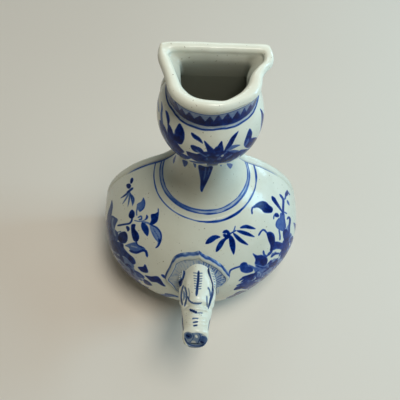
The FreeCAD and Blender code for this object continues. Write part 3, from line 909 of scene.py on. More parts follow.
# The spray on the left of the shoulder: sprig, buds, leaves and the dark mass along the flank
LEFT_FLOWERS_PX = (
    # sprig with two dots and a fan of thin leaves
    (LEAF, 3.0, 0.97, 132.4,177.5, 131.6,181, 130.8,184),
    (FILL, 0, 0.97, 126.5,184.5, 129.5,183.6, 131,186, 129.4,188.6, 127,187.6),
    (LINE, 2.2, 0.9, 132.8,188, 130,190.4, 127,193),
    *(
      (LEAF, 1.7, ink, 129.6,191.2, (129.6 + x) / 2 + 0.6,(191.2 + y) / 2, x,y)
      for x, y, ink in ((120.3, 198.4, 0.8), (122, 204.6, 0.45), (127.6, 207.5, 0.5), (132.6, 206.5, 0.75))
    ),
    (LEAF, 2.0, 0.72, 131,194, 133.6,199, 133,205),
    # light leaf with a dark rim
    (FILL, 0, 0.5, 143,198.6, 144.6,203, 143.4,208, 139.5,211.4, 137.4,208, 137.8,203.6, 141,201.6),
    (LINE, 1.2, 0.7, 143.2,197.8, 144.8,203, 143.4,208.4, 139.6,211.6),
    (LINE, 1.4, 0.5, 137.6,204, 137.2,208, 136.6,212, 136.8,215.6),
    # two dark buds and their stems
    (FILL, 0, 0.97, 132,209.6, 134.6,212.4, 134.2,216.8, 131.4,218.6, 128.8,216.6, 129.4,212.6),
    (LINE, 1.8, 0.85, 132.2,217, 131.6,220.6, 129.4,223.4, 124,224.4, 117.6,225.6),
    (LINE, 1.6, 0.62, 138,217.6, 141,216.2, 141.6,219, 139,219.6),
    (LINE, 1.3, 0.4, 134.4,220.4, 139,221.4, 143.6,220.6, 146.4,218),
    (LEAF, 2.2, 0.9, 146.6,214.6, 147,217.4, 145,220.4),
    (FILL, 0, 0.98, 151,214.6, 155,213.6, 158.6,211.8, 158.4,217, 157,221.8, 152.6,224.8, 149.6,224.4,
     151.2,220),
    (LINE, 1.1, 0.7, 158.2,208.6, 158.4,212),
    # leaves under the buds
    (LEAF, 6.4, 0.85, 141.8,222.4, 144.4,227, 146.2,231, 147.4,236.4),
    (LINE, 2.2, 0.45, 142,222, 147.4,222.8, 151,225),
    (FILL, 0, 0.38, 150,224.6, 155.6,226.4, 160,231, 161.4,236, 160,241, 158.6,246.6, 156,247.6,
     157.4,242.4, 154,238, 150.6,231),
    (LINE, 1.5, 0.93, 151,225, 156.6,227.6, 160.6,233, 161,239, 158.8,245, 155.8,247.8),
    (LINE, 1.1, 0.6, 151.6,231, 154.6,237, 157.6,241),
    *((LINE, 1.0, 0.6, 153 + 1.7 * k,227.8 + 2.6 * k, 155 + 1.4 * k,232.4 + 2.2 * k) for k in range(4)),
    (LEAF, 2.4, 0.95, 158.6,238, 159.4,242.6, 157.6,246.8),
    # dark gourd leaf and round leaf
    (FILL, 0, 0.99, 131.6,224.6, 135.4,224.4, 135,229, 138,233, 139.2,237.4, 137.6,241.2, 134,241, 132,236,
     131.2,230),
    (FILL, 0, 0.98, 120.4,232.6, 125,231.6, 127.4,235, 127.4,240, 125.4,243, 121.4,243.2, 118.2,240,
     118.4,235),
    (LEAF, 3.2, 0.92, 126.4,226, 128.2,229, 127.4,231.6),
    (LINE, 1.2, 0.5, 117,232.4, 121,231.4),
    # lighter leaf with a curled dark tail
    (FILL, 0, 0.55, 125,245.6, 131,243, 136,242.4, 138.6,246, 143.6,247, 146,250.6, 143,251.8, 136,252.6,
     131,251, 128.6,247.6),
    (LINE, 2.5, 0.93, 130,250.6, 136,252.6, 142.6,250.4, 146,251.6, 147.2,256.6),
    (LINE, 1.6, 0.85, 136,241, 137.6,245, 142.6,247.4),
    (LINE, 1.3, -0.5, 131,246, 137,247.4),
    # the mass along the left flank
    (FILL, 0, 0.72, 107.4,215, 110.4,205, 112,200, 112.8,207, 111.2,217, 111,228, 111,240, 111.6,250,
     109,250, 107.2,238, 106.6,225),
    (FILL, 0, 0.72, 111,216, 115.6,217.6, 117.8,220, 116,224, 115,229, 118,233, 118,240, 114,244, 110.6,240,
     110.6,228),
    (LINE, 1.6, -0.45, 113,218, 112.4,224, 113.6,229),
    (LINE, 1.4, -0.5, 116.6,226, 114,231, 115.6,236),
    (FILL, 0, 0.88, 110.6,240, 117,241.4, 123,244, 124,248, 128,253, 134,258.4, 135.6,263.4, 132,264,
     127,258.6, 121,255, 114,251, 109.8,247),
    (FILL, 0, 0.46, 111.6,251, 118,255, 126,258, 131.6,264, 135,270, 141,276, 139,280, 131,276, 124,270,
     116,262, 111.4,256),
    (FILL, 0, 0.4, 112,258, 118,264, 126,272, 136,280, 146,287, 142,288.6, 132,284, 122,275, 114,266),
    *(
      pair for x, y in ((112.5, 252), (113.5, 258), (118, 263), (123, 268.6), (129, 274.4), (135, 279.6))
      for pair in (
        (LEAF, 2.0, 0.86, x,y, x + 6,y + 5, x + 12,y + 8.4),
        (LINE, 1.3, -0.55, x + 1,y + 3.4, x + 7,y + 8.2),
      )
    ),
    (FILL, 0, 0.97, 138,267, 143,266.6, 145,264.2, 147,268, 148,272.4, 143.6,272.4, 140,270.2),
    (LEAF, 3.0, 0.95, 128,256, 131,260, 135.4,263),
    (LINE, 2.0, 0.8, 134,271, 139,273.4, 144,277.6),
    # the dark leaves that lie low beside the collar
    (FILL, 0, 0.98, 145,275.4, 151,276.4, 157,276.2, 160.4,279, 163,283, 165.6,286.4, 162,285.6, 157,282.6,
     151.4,281.6, 148,278.6),
    (FILL, 0, 0.96, 144,279.4, 148.6,281.4, 152,285.4, 147,284.8, 144,282.4),
    (LEAF, 2.4, 0.9, 136,282, 142,285.6, 149,288),
    (LEAF, 1.8, 0.75, 131,283, 136,287, 141,289),
    (LEAF, 2.6, 0.9, 161,274.4, 164.6,277, 167,279.4),
    (LEAF, 2.4, 0.6, 154,294, 162,295.2, 172,296, 178,296.4),
    (LINE, 1.5, 0.8, 165,293.8, 172,295, 178,297),
)

# The bamboo spray, the curled leaves and the mass along the right flank
RIGHT_FLOWERS_PX = (
    # bamboo
    (LEAF, 5.6, 0.97, 205.6,243.8, 210,240.4, 215,237.4, 220.6,237),
    (LINE, 3.2, 0.97, 223.4,232.4, 226.6,231.4, 228.8,234, 226.6,236.2, 223.8,234.8),
    (LEAF, 5.0, 0.97, 216,252, 219.6,246, 223,241, 227.4,238),
    (LINE, 3.2, 0.97, 225,238.6, 228.6,236.6),
    (LEAF, 6.0, 0.97, 229.6,234.8, 231.6,240, 232.8,247, 233.8,254.8),
    (LEAF, 3.9, 0.95, 233,232.8, 236.4,236.4, 241,240.6, 248.6,245.2),
    (LEAF, 3.7, 0.95, 236.4,230.6, 242,232.2, 248,234.2, 255,237),
    (LEAF, 3.5, 0.9, 239.8,228, 245.4,226.6, 250,227.4, 256,229),
    (LINE, 1.2, 0.55, 233.4,231.4, 234.8,228, 235.2,226),
    (LINE, 1.4, 0.8, 229,234.6, 233,232, 236,230.4),
    # curled leaf
    (FILL, 0, 0.99, 252.4,207.4, 256.4,203.6, 261.6,201.2, 266,202, 269,205, 272.6,208, 272.6,211.2,
     270.6,212.8, 264.4,212.6, 261.4,209.6, 257.6,207.4, 254,208),
    (LINE, 1.6, 0.85, 252.8,207, 251.8,210, 252.2,213.8),
    # buds on long stems
    (DROP, 4.4, 0.92, 283.6,214, 279,207, 275.8,202.4, 272.4,197.2),
    (LINE, 2.2, 0.8, 283,215, 283.2,206, 283.2,199.6, 280,194.6),
    (LINE, 1.6, 0.7, 284.8,199.4, 286,195, 287.2,191.2),
    (LEAF, 3.2, 0.92, 285.6,196.6, 287,192.6, 287.2,190),
    (LINE, 1.1, 0.6, 288,192, 289.8,195),
    (LEAF, 2.0, 0.6, 287,200, 288.4,203.4, 289.6,205.6),
    (LINE, 1.4, 0.55, 284,212, 286.8,213.6),
    # the light bell and its dark cap
    (LINE, 1.3, 0.6, 273.6,219, 274.4,215, 277,213.4),
    (FILL, 0, 0.93, 275,213.4, 277.6,213.2, 279.4,216, 277.4,217.2, 275,216.4),
    (FILL, 0, 0.6, 280.4,213, 284.4,213.6, 285,220, 286,226, 283.6,231, 279,229.6, 276,226, 277,221,
     279.6,218),
    (LINE, 1.2, 0.72, 279.4,218, 276.6,222, 276.4,226.4, 280,230),
    (LINE, 1.3, 0.78, 283.6,216, 284.8,222, 285.4,228),
    (LINE, 1.5, 0.7, 279,230, 280,236, 279.8,240),
    (FILL, 0, 0.95, 283,231, 286.6,229, 288.8,233, 289,240, 286,242, 283.4,238),
    (LINE, 2.0, 0.84, 287.2,219, 288.8,217.4, 290,220, 289.2,227, 289,235, 288.6,240),
    (LEAF, 3.0, 0.8, 293.6,222.4, 295.8,227, 296.2,232, 295,238),
    (LEAF, 3.4, 0.86, 291.6,237, 292.6,241, 290.6,246),
    # curled dark leaf and its tail
    (LINE, 1.7, 0.8, 258.6,235.4, 261.4,231, 264,230, 267,233),
    (FILL, 0, 0.99, 266.6,233, 270.4,231.8, 274,234.4, 275,239, 274.8,245, 273,250, 270,251, 270.4,246,
     268.6,241, 267.4,237),
    (FILL, 0, 0.9, 270,243, 276,241.6, 282,243, 286,246, 285,250, 279,249, 273,250),
    (LINE, 2.0, 0.8, 263.4,251, 264.2,254.6, 267,256.6),
    (LEAF, 2.6, 0.8, 267,256, 270.4,252.6, 273,250.4),
    # the mass below
    (FILL, 0, 0.95, 252.6,253.4, 257,255.4, 262,255, 267,258, 267.4,262, 264.6,266, 259,265, 255,263.6,
     255.4,259),
    (FILL, 0, 0.44, 254.6,262, 262,264, 270,263, 277,260, 284,254, 288,248, 291,244, 288,256, 282,265,
     274,272, 266,275, 258,272),
    (FILL, 0, 0.95, 269,263, 273,262, 278,259.6, 276,265, 271,267.6, 268.6,266.4),
    (FILL, 0, 0.93, 282,247, 286.4,247.6, 287,253, 284,258, 280.4,258.6, 281,253),
    (FILL, 0, 0.9, 284,240, 289,241, 288.6,248, 284,250, 282,245),
    (FILL, 0, 0.99, 258,258, 262,259, 266,258.6, 265,263, 260,263),
    (LINE, 1.6, 0.85, 256,265.6, 262,267.6, 268,268),
    (LINE, 1.8, 0.85, 271,257, 275,254, 279,253.4),
    (LINE, 1.8, -0.8, 273,252.4, 276,249.8, 279.4,250),
    (LINE, 1.5, -0.6, 276,258, 279,256.6),
    (FILL, 0, 0.8, 240,265, 243,262.4, 246.6,262.8, 248.6,266, 252,267, 253,271, 248,273, 243,272.4,
     240.4,270),
    (LINE, 1.7, 0.75, 229.4,274, 230.4,270.4, 235,268, 240.6,266.4),
    (LEAF, 2.4, 0.6, 248,264.6, 255,268.4, 261,270),
    (FILL, 0, 0.5, 254,268, 262,268, 270,270, 276,268, 272,275, 266,281, 260,284, 256,280, 255,273),
    *(
      pair for x, y in ((257.6, 272), (262, 276), (267, 273), (259, 281))
      for pair in (
        (LINE, 1.3, -0.5, x,y, x + 3,y + 1.4, x + 2.6,y + 4),
        (LINE, 1.3, 0.92, x - 1.6,y + 1, x - 1,y + 5),
      )
    ),
    (FILL, 0, 0.97, 242,277.4, 248,275, 254,273.4, 254,277, 251,280.6, 246,280),
    (LEAF, 2.0, 0.85, 238.6,281, 243,278.4, 248,277),
    (FILL, 0, 0.82, 240,284, 246,281.4, 254,281, 260,283, 255,288, 247,289.4, 241,288),
    (LEAF, 2.0, 0.8, 236,286, 242,284, 248,283),
    (LEAF, 3.0, 0.96, 233.6,290, 239,287.6, 246,287),
    (LEAF, 2.8, 0.95, 233,295.6, 240,292.6, 247,290.6),
    (LEAF, 1.7, 0.85, 226,298.4, 232,296.4, 240,293.6),
    (LEAF, 1.9, 0.84, 246,292, 254,289.6, 262,286),
    (LINE, 1.6, 0.8, 262,284, 270,278, 277,271, 283,263),
    (LINE, 1.5, 0.7, 283,262, 288,254, 291,246),
)

# The lotus on the front of the bulb and the big leaves at its sides
BULB_PX = (
    (LEAF, 3.9, 0.96, 191,132.6, 194.6,136.4, 199,139.4, 203,143.6),
    (LEAF, 5.6, 0.97, 190.6,145.2, 195,148.6, 199.6,150.4, 204.6,153.6),
    (FILL, 0, 0.98, 204,140.8, 207.6,143.6, 210.6,146.6, 213.6,149.6, 213,153.6, 208.6,153.4, 206.4,148.4),
    (FILL, 0, 0.98, 221.6,141, 222.8,145, 223.6,150, 222,153.4, 216,153.4, 214.8,149.8, 217.6,146),
    (LEAF, 4.4, 0.95, 224.4,151, 229.6,144.6, 233,138.6, 238.6,131),
    (LINE, 1.8, 0.85, 224,152, 228,147, 231,142),
    (LEAF, 3.6, 0.5, 226,152.4, 231,148, 236,146, 240.6,145),
    (LEAF, 2.8, 0.6, 226,154, 233,151.4, 240,151),
    (LEAF, 2.2, 0.82, 228,156.4, 234,154.6, 241,153.4),
    (FILL, 0, 0.93, 187,152.6, 196,154, 206,151.6, 216,152.6, 226,150.6, 234,152.4, 241,151.4, 238,157,
     228,161.6, 214,164, 200,162.4, 190,157.6),
    (LINE, 1.2, -0.45, 196,150, 202,154.4, 207,157),
    (LINE, 1.2, -0.4, 227,151.6, 223,155, 219,157.4),
    (LINE, 1.2, -0.35, 232,154.6, 226,158.4),
    (FILL, 0, 0.9, 210.6,146.4, 213.4,149.4, 216.6,146.6, 217,152, 210.8,152),
    (LINE, 1.4, -0.42, 207,155.2, 213,156.2, 219,155.4),
    (LINE, 1.3, -0.4, 206,158.6, 213,159.6, 221,158.6),
    (LINE, 2.0, -0.75, 221.6,156.6, 223.4,155),
    (FILL, 0, 0.93, 209.6,155, 216,155.4, 217.6,161, 216.6,168, 207.6,168, 207.6,160),
    (LEAF, 3.4, 0.93, 186,151.4, 191,154, 198,156, 205,157),
    (LEAF, 1.8, 0.7, 189,160.6, 197,162.6, 206,163.6),
    (LEAF, 1.6, 0.55, 222,162.6, 229,161.4, 234,159),
    # big leaves at the left and right
    (FILL, 0, 0.99, 179.4,123.4, 182.6,127.6, 184.4,133, 184.2,139, 181.8,144, 177.6,143.4, 174.4,139,
     173.8,133, 176.2,128),
    (FILL, 0, 0.9, 168.6,124.4, 171.6,128.6, 173.4,134, 176,141, 180,147, 184.4,152, 180,152.6, 173,147,
     169,140, 167.4,132),
    (LINE, 1.2, -0.75, 172.6,126, 174.2,130.4, 174.6,134),
    (FILL, 0, 0.86, 159.6,120, 165,127, 168.6,137, 174,146.6, 182,153, 191,158, 184,159, 173,153.4, 165,144,
     160.4,132),
    (LINE, 1.3, -0.4, 163.4,131, 167,140.4, 172.4,148.4),
    (LEAF, 2.9, 0.88, 165.6,110, 167.4,115, 168.4,121, 167.8,127),
    (LEAF, 2.1, 0.6, 161.4,101, 162,108, 161.4,115, 162.4,124, 165.6,134),
    # a thin dark line down the bulb's left outline
    (LINE, 1.4, 0.35, 157.8,88, 157.8,100, 159,112),
    (FILL, 0, 0.93, 250,128.6, 252.2,132.6, 251.4,138, 253.8,137.6, 257,138, 257.4,142, 253.4,146.6,
     248,148, 244.4,146.4, 244.2,142.6, 246.4,136, 248.2,131),
    (LINE, 1.6, -0.35, 243.6,147.6, 247,143, 248.6,139),
    (FILL, 0, 0.86, 240,150.4, 247,149, 253,147, 258,141, 260.4,143, 256,151, 248,157, 240.4,160, 240,155),
    (LINE, 1.6, 0.92, 240.6,155.4, 246,153.2, 251,150),
    (LEAF, 2.6, 0.88, 260,108.6, 262.2,113, 262.8,120, 261.6,128, 259.4,134),
    # a short dark line on the bulb's right outline
    (LINE, 1.4, 0.6, 263.6,88, 264.6,94),
)

# Leaf tips that hang down the neck from the bulb
NECK_PX = (
    (FILL, 0, 0.95, 198.6,165, 205,166.6, 212.6,166.4, 211,173, 207.6,181, 204,188, 202,192, 200.2,189,
     200.4,180, 199,172),
    (LINE, 1.2, -0.4, 206,167.4, 205,174, 203.8,180),
    (LINE, 1.0, -0.35, 209.6,168, 208,174.6),
    (LEAF, 2.0, 0.7, 173.4,163.6, 174.4,159, 176.2,154.6),
    (FILL, 0, 0.72, 182.6,159.8, 187.6,161.6, 187,165, 184.4,166.8, 183,163.6),
    (LEAF, 2.6, 0.62, 193,161.6, 194.8,164.4, 195.2,168),
    (FILL, 0, 0.6, 226.8,163.4, 232.6,164.2, 230.6,168.6, 228,166.6),
    (LINE, 1.6, 0.4, 219.6,163.4, 221.4,166),
)

# Forehead mark, eyes, wrinkles, side strokes, nose leather and lips
HEAD_PX = (
    (LINE, 2.3, 0.88, 198.6,271.4, 198.2,279, 197.2,288, 196.4,295.4),
    *(
      pair for k, y in enumerate((273.5, 276.4, 279, 281.4, 284, 286.6, 289))
      for pair in (
        (LINE, 0.9, 0.42, 193.4 + 0.2 * k,y - 0.8, 198,y),
        (LINE, 0.9, 0.5, 198,y, 202.4 - 0.2 * k,y - 0.4),
      )
    ),
    # eyes: smudged strokes at the left, a long dark line at the right
    (LINE, 1.5, 0.72, 183.4,285.6, 181.8,291, 181.2,298, 182.4,305),
    (LINE, 1.7, 0.62, 184.8,287, 186.4,293, 186.2,300, 184.6,306),
    (LEAF, 2.0, 0.42, 183.2,290, 184.4,295, 183.6,301),
    (LINE, 1.3, 0.26, 188.2,288, 189.4,294, 188.6,301),
    (LEAF, 2.4, 0.93, 212.6,284, 212.6,292, 210.6,300, 208.0,309.6),
    (LINE, 1.4, 0.62, 208.0,287.4, 209.8,291, 210.4,296),
    (LINE, 1.4, 0.42, 206.8,296, 207.0,302, 207.4,307),
    # wrinkles
    (LINE, 1.3, 0.8, 187.6,296.4, 189.4,300.6, 193,303.0, 198,303.6, 201.4,303),
    (LINE, 2.1, 1.0, 190.0,309.8, 193.4,311.2, 196.8,312.8),
    (LINE, 1.2, 0.42, 197.6,312.8, 202.6,313),
    (LINE, 1.2, 0.5, 192.4,318.8, 195,318.2, 198,318.6),
    (LINE, 1.5, 0.8, 193.4,322.4, 197.6,321.8),
    (LINE, 1.5, 0.8, 193.6,325.8, 197.2,325.2),
    # side strokes
    (LEAF, 1.7, 0.8, 180.6,310, 181.8,318, 182.6,325, 183.6,331),
    (LEAF, 2.3, 0.88, 211.0,318, 209.8,325, 208.6,331),
    # nose leather, nostrils and lips
    (FILL, 0, 0.32, 184.0,334, 187.6,331.8, 192,332.8, 198,332.6, 203.4,334.4, 207.4,338, 207.2,343,
     204,347, 197,349.4, 190,347.6, 185.6,342),
    (FILL, 0, 0.72, 185.4,334.2, 188.4,333, 191.8,334.6, 191.6,338, 188.2,339, 185.8,337.2),
    (LINE, 2.0, 1.0, 186.2,335.4, 189.4,336.8),
    (FILL, 0, 0.66, 199.6,337.6, 203.4,335.6, 207,338.4, 206.4,342.8, 202.4,344.4, 199.6,341.6),
    (LINE, 2.2, 0.98, 200.8,341.6, 203.6,342.8),
    (LINE, 1.3, 0.6, 192.4,333.4, 193.4,337, 191.4,341, 187.4,343),
    (LINE, 1.3, 0.66, 198.8,333.4, 200.4,336, 199.2,340, 197.6,344),
    (LINE, 1.5, 0.82, 184.6,338, 187.0,342.4, 190.6,345, 196,346, 201.6,345.6, 206,342.6),
    (LINE, 1.6, 0.7, 189.4,347.4, 194,348.8, 200.4,348.4),
    # Painted highlights: the next two strokes lift ink where the nose tip and the patch below it catch the
    # light.
    (LINE, 2.2, -0.85, 195.6,335.4, 197.2,337.4),
    (LINE, 2.4, -0.6, 191.6,341.6, 195.2,342.2),
    (LINE, 1.2, -0.6, 202.4,334.8, 204.6,336),
)


def thicket(path, spread, length, lean, count, seed):
    """Crowded leaves along a path, as on the flanks, where single strokes run into one another."""
    rng = np.random.default_rng(seed)
    line = curve_through(path, 12)
    for _ in range(count):
        x, y = line[rng.integers(len(line))] + rng.uniform(-1, 1, 2) * spread
        a = math.radians(lean + rng.uniform(-26, 26))
        reach = length * rng.uniform(0.6, 1.2)
        dx, dy = math.cos(a) * reach / 2, math.sin(a) * reach / 2
        bend = rng.uniform(-1.2, 1.2)
        kind = rng.uniform()
        leaf = (x - dx, y - dy, x - dy * 0.12 * bend, y + dx * 0.12 * bend, x + dx, y + dy)
        if kind < 0.42:
            yield LEAF, rng.uniform(1.6, 3.2), rng.uniform(0.6, 0.97), *leaf
        elif kind < 0.66:
            yield LEAF, rng.uniform(2.0, 3.6), rng.uniform(0.3, 0.55), *leaf
        else:
            yield LEAF, rng.uniform(0.9, 1.8), -rng.uniform(0.4, 0.85), *leaf


# Paths of the thickets in the photograph's frame, with spread, leaf length, lean in degrees, count and seed
THICKETS_PX = (
    (((109.4, 222), (110.4, 236), (113, 248)), (3.0, 3.0), 9.0, 80, 26, 101),
    (((113, 246), (119, 257), (128, 268), (140, 280)), (5.0, 3.6), 10.0, 42, 54, 102),
    (((287, 232), (287, 246), (280, 258)), (4.0, 4.0), 8.0, 100, 26, 103),
    (((281, 256), (272, 266), (260, 274), (249, 282)), (6.0, 4.4), 9.0, 138, 50, 104),
)
FLANKS_PX = tuple(row for place in THICKETS_PX for row in thicket(*place))
FLOWERS_PX = FLANKS_PX + LEFT_FLOWERS_PX + RIGHT_FLOWERS_PX


def paint_collar(obj, share, turn):
    """Double outline along the collar's edge and a hatched field inside it."""
    p = read_points(obj)
    px, py = to_photo(p)
    wobble = 0.004 * np.sin(turn * 75) + 0.003 * np.sin(turn * 143 + 1)
    outer = np.exp(-(((share - 0.988 - wobble) / 0.017) ** 2))
    inner = np.exp(-(((share - 0.872 + 2 * wobble) / 0.016) ** 2))
    press = 0.85 + 0.15 * swell(p, 7.0, 35)
    right = eased((px - 194) / 12)
    ink = np.maximum(0.86 * outer, 0.72 * inner) * press
    grain = np.clip(0.5 + 0.5 * swell(p * np.array((1.0, 0.6, 0.6)), 2.0, 31), 0, 1)
    ink = np.maximum(ink, (0.04 + 0.10 * grain) * (share > 0.86))
    dashes = np.clip(0.5 + 0.7 * np.sin(turn * 2 * math.pi * 44 + 3 * swell(p, 8.0, 33)), 0, 1)
    field = (share < 0.87) * (0.16 + 0.06 * right + (0.14 + 0.30 * right) * grain * dashes)
    # Painted highlight: the ink is lifted at the collar's tip, where it catches the light.
    tip_highlight = hump(px, 199.0, 8.0) * hump(py, 258.6, 2.6)
    ink = np.maximum(ink, field) * (1 - 0.8 * tip_highlight)
    # Smoky grey ink, more so towards the left: partly painted shade on the side away from the light.
    grey = 0.5 * (1 - 0.4 * right)
    write_ink(obj, np.clip(ink, 0, 1), thin=grey)


def rings_on_neck(p, ink):
    """The thin ring on the shoulder and the double ring at the neck's foot, drawn as the pot turned."""
    r = np.hypot(p[:, 0], p[:, 1])
    a = np.arctan2(p[:, 0], -p[:, 1])
    low = (p[:, 2] > 66) & (p[:, 2] < 92)
    wander = 0.20 * np.sin(2 * a + 1.0) + 0.10 * np.sin(5 * a)
    right = eased(0.5 + a / 1.6)
    press = 0.80 + 0.10 * np.sin(3 * a + 0.6) + 0.10 * np.sin(17 * a) * np.sin(5 * a)
    rings = (
        (27.2 + 0.5 * right, 0.26 + 0.22 * right, 0.84 + 0.12 * right, 0.0),
        (23.95, 0.26 + 0.10 * right, 0.92, 0.10),
        (22.55, 0.24, 0.84, -0.10),
    )
    for radius, half, strength, shift in rings:
        thin = half * (1 + 0.25 * np.sin(4 * a + shift * 40) + 0.12 * np.sin(13 * a))
        off = np.abs(r - radius - wander - shift * np.sin(3 * a))
        line = np.clip(0.5 + (thin - off) / 0.30, 0, 1) * low
        ink = np.maximum(ink, strength * press * eased(line))
    pooled = 0.26 + 0.34 * hump(a, -0.62, 0.5)
    band = eased(0.5 + (0.6 - np.abs(r - 23.25 - wander)) / 0.4) * low
    return np.maximum(ink, pooled * band)


def band_under_lip(p, ink):
    """The border of upright points between the lip and a thin line, with painted shade under the lip's
    overhang.
    """
    a = np.arctan2(p[:, 0], -p[:, 1])
    z = p[:, 2]
    front = eased((CUT_Y - 1.0 - p[:, 1]) / 1.5)
    count = 31
    wander = 0.35 * np.sin(5 * a + 0.8) + 0.2 * np.sin(11 * a)
    tooth = np.abs(((a / (2 * math.pi) * count + 0.10 * np.sin(9 * a) + 100) % 1) - 0.5) * 2
    foot = 146.1 + 0.5 * wander
    top = 149.0 + wander + (3.6 + wander) * (1 - tooth)
    solid = eased(0.5 + (top - z) / 0.45) * eased(0.5 + (z - foot) / 0.4)
    line = eased(0.5 + (0.26 - np.abs(z - foot + 1.5)) / 0.32)
    # Painted shade under the lip: a pale wash over the band, deeper above the foot line, and a grey-blue
    # strip just below the lip.
    between = eased(0.5 + (z - foot + 1.6) / 0.3) * eased(0.5 + (153.6 - z) / 0.7)
    lip_shadow = eased(0.5 + (0.5 - np.abs(z - 153.4)) / 0.5)
    ink = np.maximum(ink, 0.99 * solid * front)
    ink = np.maximum(ink, 0.9 * line * front)
    ink = np.maximum(ink, 0.5 * lip_shadow * front)
    return np.maximum(ink, (0.20 + 0.12 * (z > foot + 1)) * between * front)


def seam_line(p, ink):
    """The line drawn along both shoulders where the slab begins."""
    near = np.exp(-(((p[:, 1] - CUT_Y + 0.5) / (0.45 + 0.2 * (p[:, 0] < 0))) ** 2))
    height = eased((p[:, 2] - 62) / 8) * eased((94 - p[:, 2]) / 4)
    return np.maximum(ink, np.where(p[:, 0] < 0, 0.98, 0.8) * near * height)


def shaded_inside(p, outside):
    """Painted shade on the inside: a grey over the glaze, the more so the deeper down and on the mouth's
    right-hand wall, fading out at the lip's top.
    """
    deep = eased((157.5 - p[:, 2]) / 12)
    right = 0.3 * eased((p[:, 0] - 12) / 3)
    amount = np.minimum(1.0, 0.45 + 0.55 * deep + right)
    return np.where(outside, 0.0, amount) * eased((158.2 - p[:, 2]) / 2.5)


def round_normals(p):
    """The way the round outside faces at each point, which goes on evenly over the joints."""
    out, up = (np.interp(p[:, 2], OUTER[:, 1], way) for way in side_of(OUTER).T)
    r = np.maximum(np.hypot(p[:, 0], p[:, 1]), 1.0)
    return np.stack([out * p[:, 0] / r, out * p[:, 1] / r, up], 1)


def facing(obj, p):
    """1 where a surface faces the photograph's camera, fading to 0 beyond its horizon."""
    view = CAMERA_AT - p
    view /= np.linalg.norm(view, axis=1)[:, None]
    normals = round_normals(p) if obj.name.split(".")[0] in THROWN else read_normals(obj)
    return eased(((normals * view).sum(1) + 0.22) / 0.16)


def round_the_sides(p, ink, seen):
    """Continues the flowers on the flanks and the underside that the photograph doesn't show."""
    a = np.degrees(np.arctan2(p[:, 0], -p[:, 1]))
    b = Brush(a * 0.9, -p[:, 2], soft=0.9)
    for hand in (-1, 1):
        for k, place in enumerate((34, 52, 70, 86)):
            x, z = hand * place, -(22 + 3 * math.sin(place))
            b.draw((
                (LEAF, 5.5, 0.9, x - 7 * hand,z + 6, x - 2 * hand,z + 1, x + 5 * hand,z - 4),
                (LEAF, 3.6, 0.6, x - 6 * hand,z - 3, x,z - 1, x + 7 * hand,z + 4),
                (LEAF, 2.6, 0.85, x - 3 * hand,z + 9, x + 3 * hand,z + 5, x + 9 * hand,z + 7),
                (FILL, 0, 0.93 - 0.1 * (k % 2), x + 5,z - 1, x + 8,z - 4, x + 11,z, x + 8,z + 3.4),
                (LINE, 1.0, 0.75, x + 8,z - 6, x + 8.4,z, x + 7,z + 6),
            ))
    for z, half in ((9.6, 0.34), (7.9, 0.5)):
        line = eased(0.5 + (half - np.abs(p[:, 2] - z)) / 0.35)
        ink = np.maximum(ink, 0.8 * line)
    return np.maximum(ink, b.ink * (1 - seen))


def paint(obj, outside, rows, extra):
    """Lays the photographed strokes and then the drawn ones on one piece, and its glazes."""
    p = read_points(obj)
    name = obj.name.split(".")[0]
    seen = facing(obj, p)
    b = Brush(*to_photo(p))
    b.draw(rows)
    ink = b.ink * seen
    for draw in extra:
        ink = draw(p, ink, seen) if draw is round_the_sides else draw(p, ink)
    ink = np.clip(ink, 0, 1) * outside
    bare = 0.0
    # thin holds painted shade inside the pot; on the head and the left flank it also makes the ink smoky
    thin = shaded_inside(p, outside)
    # Whiter glaze up the bulb and on the rim: partly thicker glaze, partly painted light on the parts that
    # catch it.
    white_and_lit = 0.55 * eased((p[:, 2] - 108) / 8) + 0.45 * eased((p[:, 2] - 144) / 9)
    if name == "back_slab":
        burnt = hump(p[:, 1], 12.0, 3.0) * eased((p[:, 2] - 48) / 10) * eased((80 - p[:, 2]) / 6)
        bare = 0.5 * burnt * (p[:, 0] > 0) * outside
    elif name == "animal_head":
        # Painted light: the head's glaze is made whiter all over, as if lit.
        white_and_lit = 0.5
        thin = np.maximum(thin, 0.7 * eased(ink / 0.25))
    elif name in ("upper_body", "lower_body"):
        # Painted shade: the ink on the left flank, away from the light, is made grey and smoky.
        thin = np.maximum(thin, 0.55 * eased(ink / 0.25) * eased((-p[:, 0] - 30) / 18))
    write_ink(obj, ink, bare, thin, white_and_lit)


# ---- materials ----

def linear(r, g, b):
    """A colour as it looks on screen, 0 to 255, as the shader takes it."""
    out = []
    for v in (r, g, b):
        v /= 255
        out.append(v / 12.92 if v <= 0.04045 else ((v + 0.055) / 1.055) ** 2.4)
    return (*out, 1.0)


